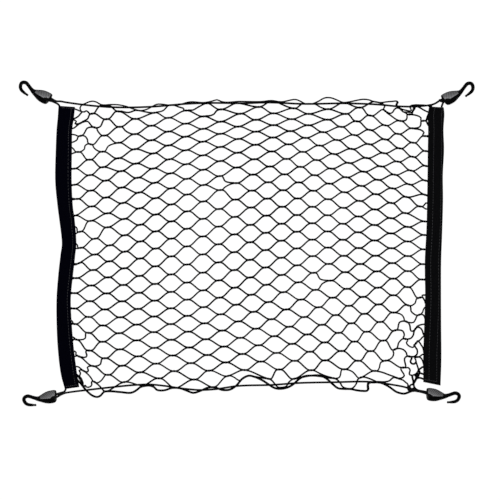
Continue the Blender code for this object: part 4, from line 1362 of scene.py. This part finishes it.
# ---- side bands ------------------------------------------------------------------------------------------
@dataclass
class SideBand:
    """A tape folded lengthwise round the net's side, with stitches along its open edge and across its ends."""

    name: str
    node: str
    stations: Sequence[BandStation]
    spacing: float = 4.0
    upper_steps: int = 16
    lower_steps: int = 6
    fold_steps: int = 10
    unevenness: float = 0.35    # of the upper layer's height
    uneven_start: float = 0.25  # share of the flat part over which it sets in past the fold
    uneven_across: float = 12.0     # over which that changes
    uneven_along: float = 22.0
    seams: tuple[float, ...] = (6.3,)   # of each row of stitches from the open edge
    dent: float = 0.45          # of the upper layer under a seam
    dent_width: float = 1.6
    first_stitch: float = 5.0   # of a seam, from the band's end
    seam_ends: float = 8.0      # of the band's length that a seam leaves free, both ends together
    stitch: float = 3.4         # length of a stitch
    stitch_pitch: float = 4.6
    stitch_rise: float = 0.15   # of its crown over the tape
    hem: float = 5.0            # of the stitches across the band from each end
    hem_stitches: int = 6
    hem_start: float = 2.5      # of the first of them from the open edge
    hem_stitch: float = 3.0
    hem_pitch: float = 3.7
    hem_rise: float = 0.25
    stitch_sunk: float = 0.5    # of a stitch's ends under the tape's face
    thread: float = 0.8         # diameter of the sewing thread, drawn a little thick so that it shows
    thread_sides: int = 6

    def line(self, share: float) -> tuple[Vector, Vector]:
        """A line across the band.

        Args:
            share: Where it lies along the band, from 0 to 1.

        Returns:
            Its point on the folded outer edge and the one on the open inner edge.
        """
        index = range(len(self.stations))
        at = share * (len(self.stations) - 1)
        outer = smooth_at(index, [raised((s.outer_x, s.outer_y)) for s in self.stations], at)
        inner = smooth_at(index, [raised((s.inner_x, s.inner_y)) for s in self.stations], at)
        return outer, inner

    def upper_height(self, share: float, inset: float) -> float:
        """Height of the upper layer's middle: its crown over the fold, less the dent along the stitches.

        Args:
            share: Share of the flat part past the fold.
            inset: Distance from the open edge.

        Returns:
            The height in millimetres.
        """
        shares, heights = zip(*UPPER_LAYER)
        dent = max(self.dent * math.exp(-((inset - seam) / self.dent_width) ** 2) for seam in self.seams)
        return float(np.interp(share, shares, heights)) - dent

    def profile(self, outer: Vector, inner: Vector, along: float) -> list[tuple[Vector, float]]:
        """The tape's middle line across the band, from its lower open edge round the fold to the upper one.

        Args:
            outer: The point on the folded edge.
            inner: The point on the open edge.
            along: Distance along the band, for its unevenness.

        Returns:
            Points and their distances across the unfolded tape.
        """
        inwards = (inner - outer).normalized()
        flat_width = (inner - outer).length - FOLD_MIDDLE
        places = [(FOLD_MIDDLE + flat_width * (1 - step / self.lower_steps), LOWER_LAYER)
                  for step in range(self.lower_steps)]
        for step in range(self.fold_steps + 1):
            angle = math.pi * (1.5 - step / self.fold_steps)
            places.append((FOLD_MIDDLE + FOLD_RADIUS * math.cos(angle), FOLD_MIDDLE + FOLD_RADIUS * math.sin(angle)))
        for step in range(1, self.upper_steps + 1):
            share = step / self.upper_steps
            reach = FOLD_MIDDLE + flat_width * share
            spot = Vector((reach / self.uneven_across, along / self.uneven_along, self.stations[0].outer_x))
            height = self.upper_height(share, (inner - outer).length - reach)
            places.append((reach, height + self.unevenness * noise.noise(spot) * fade(share / self.uneven_start)))
        points = [outer + inwards * reach + Vector((0.0, 0.0, height)) for reach, height in places]
        across = [0.0]
        for before, after in zip(points, points[1:]):
            across.append(across[-1] + (after - before).length)
        return list(zip(points, across))

    def build(self, tape: bpy.types.Material, thread: bpy.types.Material) -> list[bpy.types.Object]:
        """Makes the tape and its stitches.

        Args:
            tape: Finish of the tape.
            thread: Finish of the stitches.

        Returns:
            The tape's piece and the stitches' piece.
        """
        length = (self.line(1.0)[0] - self.line(0.0)[0]).length
        steps = round(length / self.spacing)
        rows = [self.profile(*self.line(step / steps), length * step / steps) for step in range(steps + 1)]
        vertices = [point for row in rows for point, _ in row]
        count = len(rows[0])
        faces, uvs = [], []
        for step in range(steps):
            for place in range(count - 1):
                corners = ((step, place), (step + 1, place), (step + 1, place + 1), (step, place + 1))
                faces.append(tuple(row * count + spot for row, spot in corners))
                uvs += [(rows[row][spot][1], length * row / steps) for row, spot in corners]
        piece = mesh_piece(self.name, vertices, faces, uvs, tape)
        solid = piece.modifiers.new("Tape thickness", "SOLIDIFY")
        solid.thickness = TAPE * MM
        solid.offset = 0.0
        solid.use_even_offset = True
        declare(piece, self.node)
        stitches = self.build_stitches(thread, length)
        return [piece, stitches]

    def on_upper(self, along: float, inset: float, lift: float) -> Vector:
        """A point on the upper layer.

        Args:
            along: Share of the band's length.
            inset: Distance from the open edge.
            lift: Height over the layer's middle.

        Returns:
            The point.
        """
        outer, inner = self.line(along)
        width = (inner - outer).length
        height = self.upper_height((width - inset - FOLD_MIDDLE) / (width - FOLD_MIDDLE), inset)
        return outer + (inner - outer).normalized() * (width - inset) + Vector((0.0, 0.0, height + lift))

    def add_stitch(self, tubes: Tubes, start: Point, end: Point, rise: float) -> None:
        """Adds one stitch, whose two ends go down into the tape.

        Args:
            tubes: What the stitches are collected in.
            start: Share of the band's length and distance from the open edge where it starts.
            end: The same where it ends.
            rise: Height of its crown over the tape's face.
        """
        path = []
        for share in (0.0, 0.12, 0.5, 0.88, 1.0):
            along, inset = (first + (last - first) * share for first, last in zip(start, end))
            path.append(self.on_upper(along, inset, TAPE / 2 + (-self.stitch_sunk if share in (0.0, 1.0) else rise)))
        tubes.add(path, self.thread, self.thread_sides)

    def build_stitches(self, thread: bpy.types.Material, length: float) -> bpy.types.Object:
        """Makes the rows of stitches along the band and across its two hems.

        Args:
            thread: Finish of the stitches.
            length: The band's length.

        Returns:
            The stitches' piece.
        """
        tubes = Tubes()
        for seam in self.seams:
            for number in range(int((length - self.seam_ends) / self.stitch_pitch)):
                along = self.first_stitch + number * self.stitch_pitch
                self.add_stitch(tubes, (along / length, seam), ((along + self.stitch) / length, seam), self.stitch_rise)
        for end in (self.hem / length, 1 - self.hem / length):
            for number in range(self.hem_stitches):
                inset = self.hem_start + number * self.hem_pitch
                self.add_stitch(tubes, (end, inset), (end, inset + self.hem_stitch), self.hem_rise)
        return declare(tubes.piece(f"{self.name}_stitches", thread))


# ---- hooks -----------------------------------------------------------------------------------------------
@dataclass
class CornerHook:
    """A moulded hook: a flat teardrop body with a round, curled shank."""

    name: str
    node: str
    corners: int = 48
    steps: int = 4              # rings between two sections
    panel_start: float = 0.2    # of the panel on the face, grey with painted sheen, from the blunt end
    panel_end: float = 28.5
    panel_low: float = -0.68    # its border on the lower side, as a share of half the width
    panel_rise: float = 0.78    # share of half the thickness from which a point is on the face
    panel_depth: float = 0.35   # that it lies below the rim
    teeth_start: float = 30.0   # of the small teeth on the shank, grey dashes of painted highlight, from the blunt end
    teeth_end: float = 47.0
    tooth: float = 3.4          # from one tooth to the next
    tooth_rise: float = 0.3     # where on the shank they stand, as shares of half its thickness and width
    tooth_side: float = -0.2
    outward_share: float = 0.6  # of the sections, that lead out to the curl
    slant: float = 2.2          # mm by which the blunt end's higher corner is cut back
    slant_power: int = 4        # how near to the corner that cut is
    slant_reach: float = 12.0   # over which it fades out along the hook

    def sections(self) -> list[HookSection]:
        """The hook's cross sections, read densely from a smooth curve through the given ones.

        Returns:
            The sections from the blunt end to the tip.
        """
        index = range(len(HOOK_SECTIONS))
        shapes = [Vector(section) for section in HOOK_SECTIONS]
        count = (len(shapes) - 1) * self.steps
        return [HookSection(*smooth_at(index, shapes, step / self.steps)) for step in range(count + 1)]

    def on_panel(self, along: float, across: float, rise: float) -> bool:
        """Whether a point of the surface belongs to the panel of the face or to a tooth on the shank, both in the grey
        of painted sheen.

        Args:
            along: Distance from the blunt end.
            across: Share of half the width, positive on the higher side.
            rise: Share of half the thickness, positive on the face.

        Returns:
            True on the panel.
        """
        if along > self.teeth_start:
            # the teeth are shallow ribs that carry grey dashes of painted highlight
            on_highlighted_tooth = (along - self.teeth_start) % self.tooth < self.tooth / 2
            return on_highlighted_tooth and rise > self.tooth_rise and across < self.tooth_side and along < self.teeth_end
        high = PANEL_HIGH - PANEL_CHAMFER * max(0.0, PANEL_CORNER - along)
        inside = self.panel_start < along < self.panel_end and self.panel_low < across < high
        return inside and rise > self.panel_rise

    def build(self, wall: bpy.types.Material, face: bpy.types.Material) -> bpy.types.Object:
        """Makes the hook as one loft.

        Args:
            wall: The finish of the walls and the shank.
            face: The finish of the panel on the face and of the teeth, a grey of painted sheen.

        Returns:
            The hook's piece.
        """
        sections = self.sections()
        outward_leg = len(sections) * self.outward_share
        middles = [Vector((section.along, 0.0, section.normal)) for section in sections]
        place = HOOKS[self.node]
        matrix = hook_matrix(place)
        across = Vector((0.0, 1.0, 0.0))
        vertices, places, faces, uvs, panel = [], [], [], [], []
        for number, section in enumerate(sections):
            ahead = middles[min(number + 1, len(middles) - 1)] - middles[max(number - 1, 0)]
            outwards = ahead.normalized().cross(across)
            cut_share = max(0.0, 1 - (section.along - HOOK_SECTIONS[0].along) / self.slant_reach)
            for corner in range(self.corners):
                angle = math.tau * (corner + 0.5) / self.corners
                side, rise = (math.copysign(abs(share) ** (2 / section.square), share)
                              for share in (math.cos(angle), math.sin(angle)))
                spot = (section.along, -side * place.rolled, rise)
                late = (spot[1] + self.slant * max(0.0, spot[1]) ** self.slant_power) * cut_share
                sunk = self.panel_depth if self.on_panel(*spot) and number < outward_leg else 0.0
                vertices.append(matrix @ (middles[number] + Vector((late, 0.0, 0.0))
                                          + across * side * section.width / 2
                                          + outwards * (rise * section.thickness / 2 - sunk)))
                places.append((*spot, number))
        for ring in range(len(sections) - 1):
            for corner in range(self.corners):
                following = (corner + 1) % self.corners
                low, high = ring * self.corners, (ring + 1) * self.corners
                faces.append((low + corner, low + following, high + following, high + corner))
                uvs += [(places[spot][1], places[spot][0]) for spot in faces[-1]]
                middle = [sum(places[spot][axis] for spot in faces[-1]) / 4 for axis in range(4)]
                panel.append(self.on_panel(*middle[:3]) and middle[3] < outward_leg)
        for ring, turned in ((0, True), (len(sections) - 1, False)):
            cap = [ring * self.corners + corner for corner in range(self.corners)]
            faces.append(tuple(reversed(cap)) if turned else tuple(cap))
            uvs += [(0.0, 0.0)] * self.corners
            panel.append(False)
        piece = mesh_piece(self.name, vertices, faces, uvs, wall)
        piece.data.materials.append(face)
        piece.data.polygons.foreach_set("material_index", np.array(panel, np.int32))
        return declare(piece, self.node)


# ---- studio ----------------------------------------------------------------------------------------------
class Softbox(NamedTuple):
    """A square area light that points at the net: its place and side in metres, and its power in watts."""

    name: str
    place: tuple[float, float, float]
    size: float
    power: float


@dataclass
class Studio:
    """A light table, one large softbox overhead, a low one beyond the far edge, and a camera straight above."""

    table_size: float = 60.0        # in metres, so that its border never shows
    table_depth: float = 0.3        # in millimetres, under the surface that the net lies on
    ambient: float = 0.35
    softboxes: tuple[Softbox, ...] = (Softbox("overhead_softbox", (0.0, 0.6, 3.0), 3.0, 110.0),
                                      Softbox("far_softbox", (0.0, 3.2, 0.9), 2.4, 60.0))
    aim_x: float = 5.9
    aim_y: float = -12.4
    height: float = 8000.0
    lens: float = 320.0

    def build(self) -> None:
        """Makes the table, the lights, the dim surroundings and the camera."""
        scene = bpy.context.scene
        scene.view_settings.view_transform = "Standard"
        bpy.ops.mesh.primitive_plane_add(size=self.table_size, location=(0.0, 0.0, -self.table_depth * MM))
        table = bpy.context.object
        table.name = "light_table"
        table.data.materials.append(OpalLightTable().material())
        world = bpy.data.worlds.new("dim_studio")
        world.use_nodes = True
        background = world.node_tree.nodes["Background"]
        background.inputs["Color"].default_value = linear("#ffffff")
        background.inputs["Strength"].default_value = self.ambient
        scene.world = world
        for softbox in self.softboxes:
            light = bpy.data.lights.new(softbox.name, "AREA")
            light.size = softbox.size
            light.energy = softbox.power
            lamp = bpy.data.objects.new(softbox.name, light)
            lamp.location = softbox.place
            lamp.rotation_euler = (-Vector(softbox.place)).to_track_quat("-Z", "Y").to_euler()
            scene.collection.objects.link(lamp)
        camera = bpy.data.cameras.new("view_from_above")
        camera.lens = self.lens
        viewer = bpy.data.objects.new("view_from_above", camera)
        viewer.location = (self.aim_x * MM, self.aim_y * MM, self.height * MM)
        scene.collection.objects.link(viewer)
        scene.camera = viewer


def main() -> None:
    """Builds the cords, the net, the bands and the hooks."""
    logging.basicConfig(level=logging.INFO, format="%(message)s")
    noise.seed_set(SEED)
    Studio().build()
    elastic = BraidedElasticCord().material()
    cords = [EdgeCord("elastic_cord_top", "edge_cord_top", top_route()),
             EdgeCord("elastic_cord_bottom", "edge_cord_bottom", bottom_route())]
    for cord in cords:
        cord.build(elastic)
    CordKnot().build(elastic)
    twine = TwistedPolyesterTwine().material()
    net = Net(Surroundings([cord.path() for cord in cords]))
    net.build(twine)
    net.build_edges(twine)
    thread = BondedNylonThread().material()
    left_tape = WovenPolypropyleneTape("woven_polypropylene_tape_bluish", "#000002", "#03030b")
    bands = [(SideBand("tape_band_left", "band_left", LEFT_BAND), left_tape),
             (SideBand("tape_band_right", "band_right", RIGHT_BAND, seams=(10.5, 24.5)), WovenPolypropyleneTape())]
    for band, tape in bands:
        band.build(tape.material(), thread)
    wall, face = PolishedPolypropylene().material(), ErodedPolypropyleneWithPaintedSheen().material()
    for node in HOOKS:
        CornerHook(f"moulded_{node}", node).build(wall, face)

    bpy.context.view_layer.update()


if __name__ == "__main__":
    main()
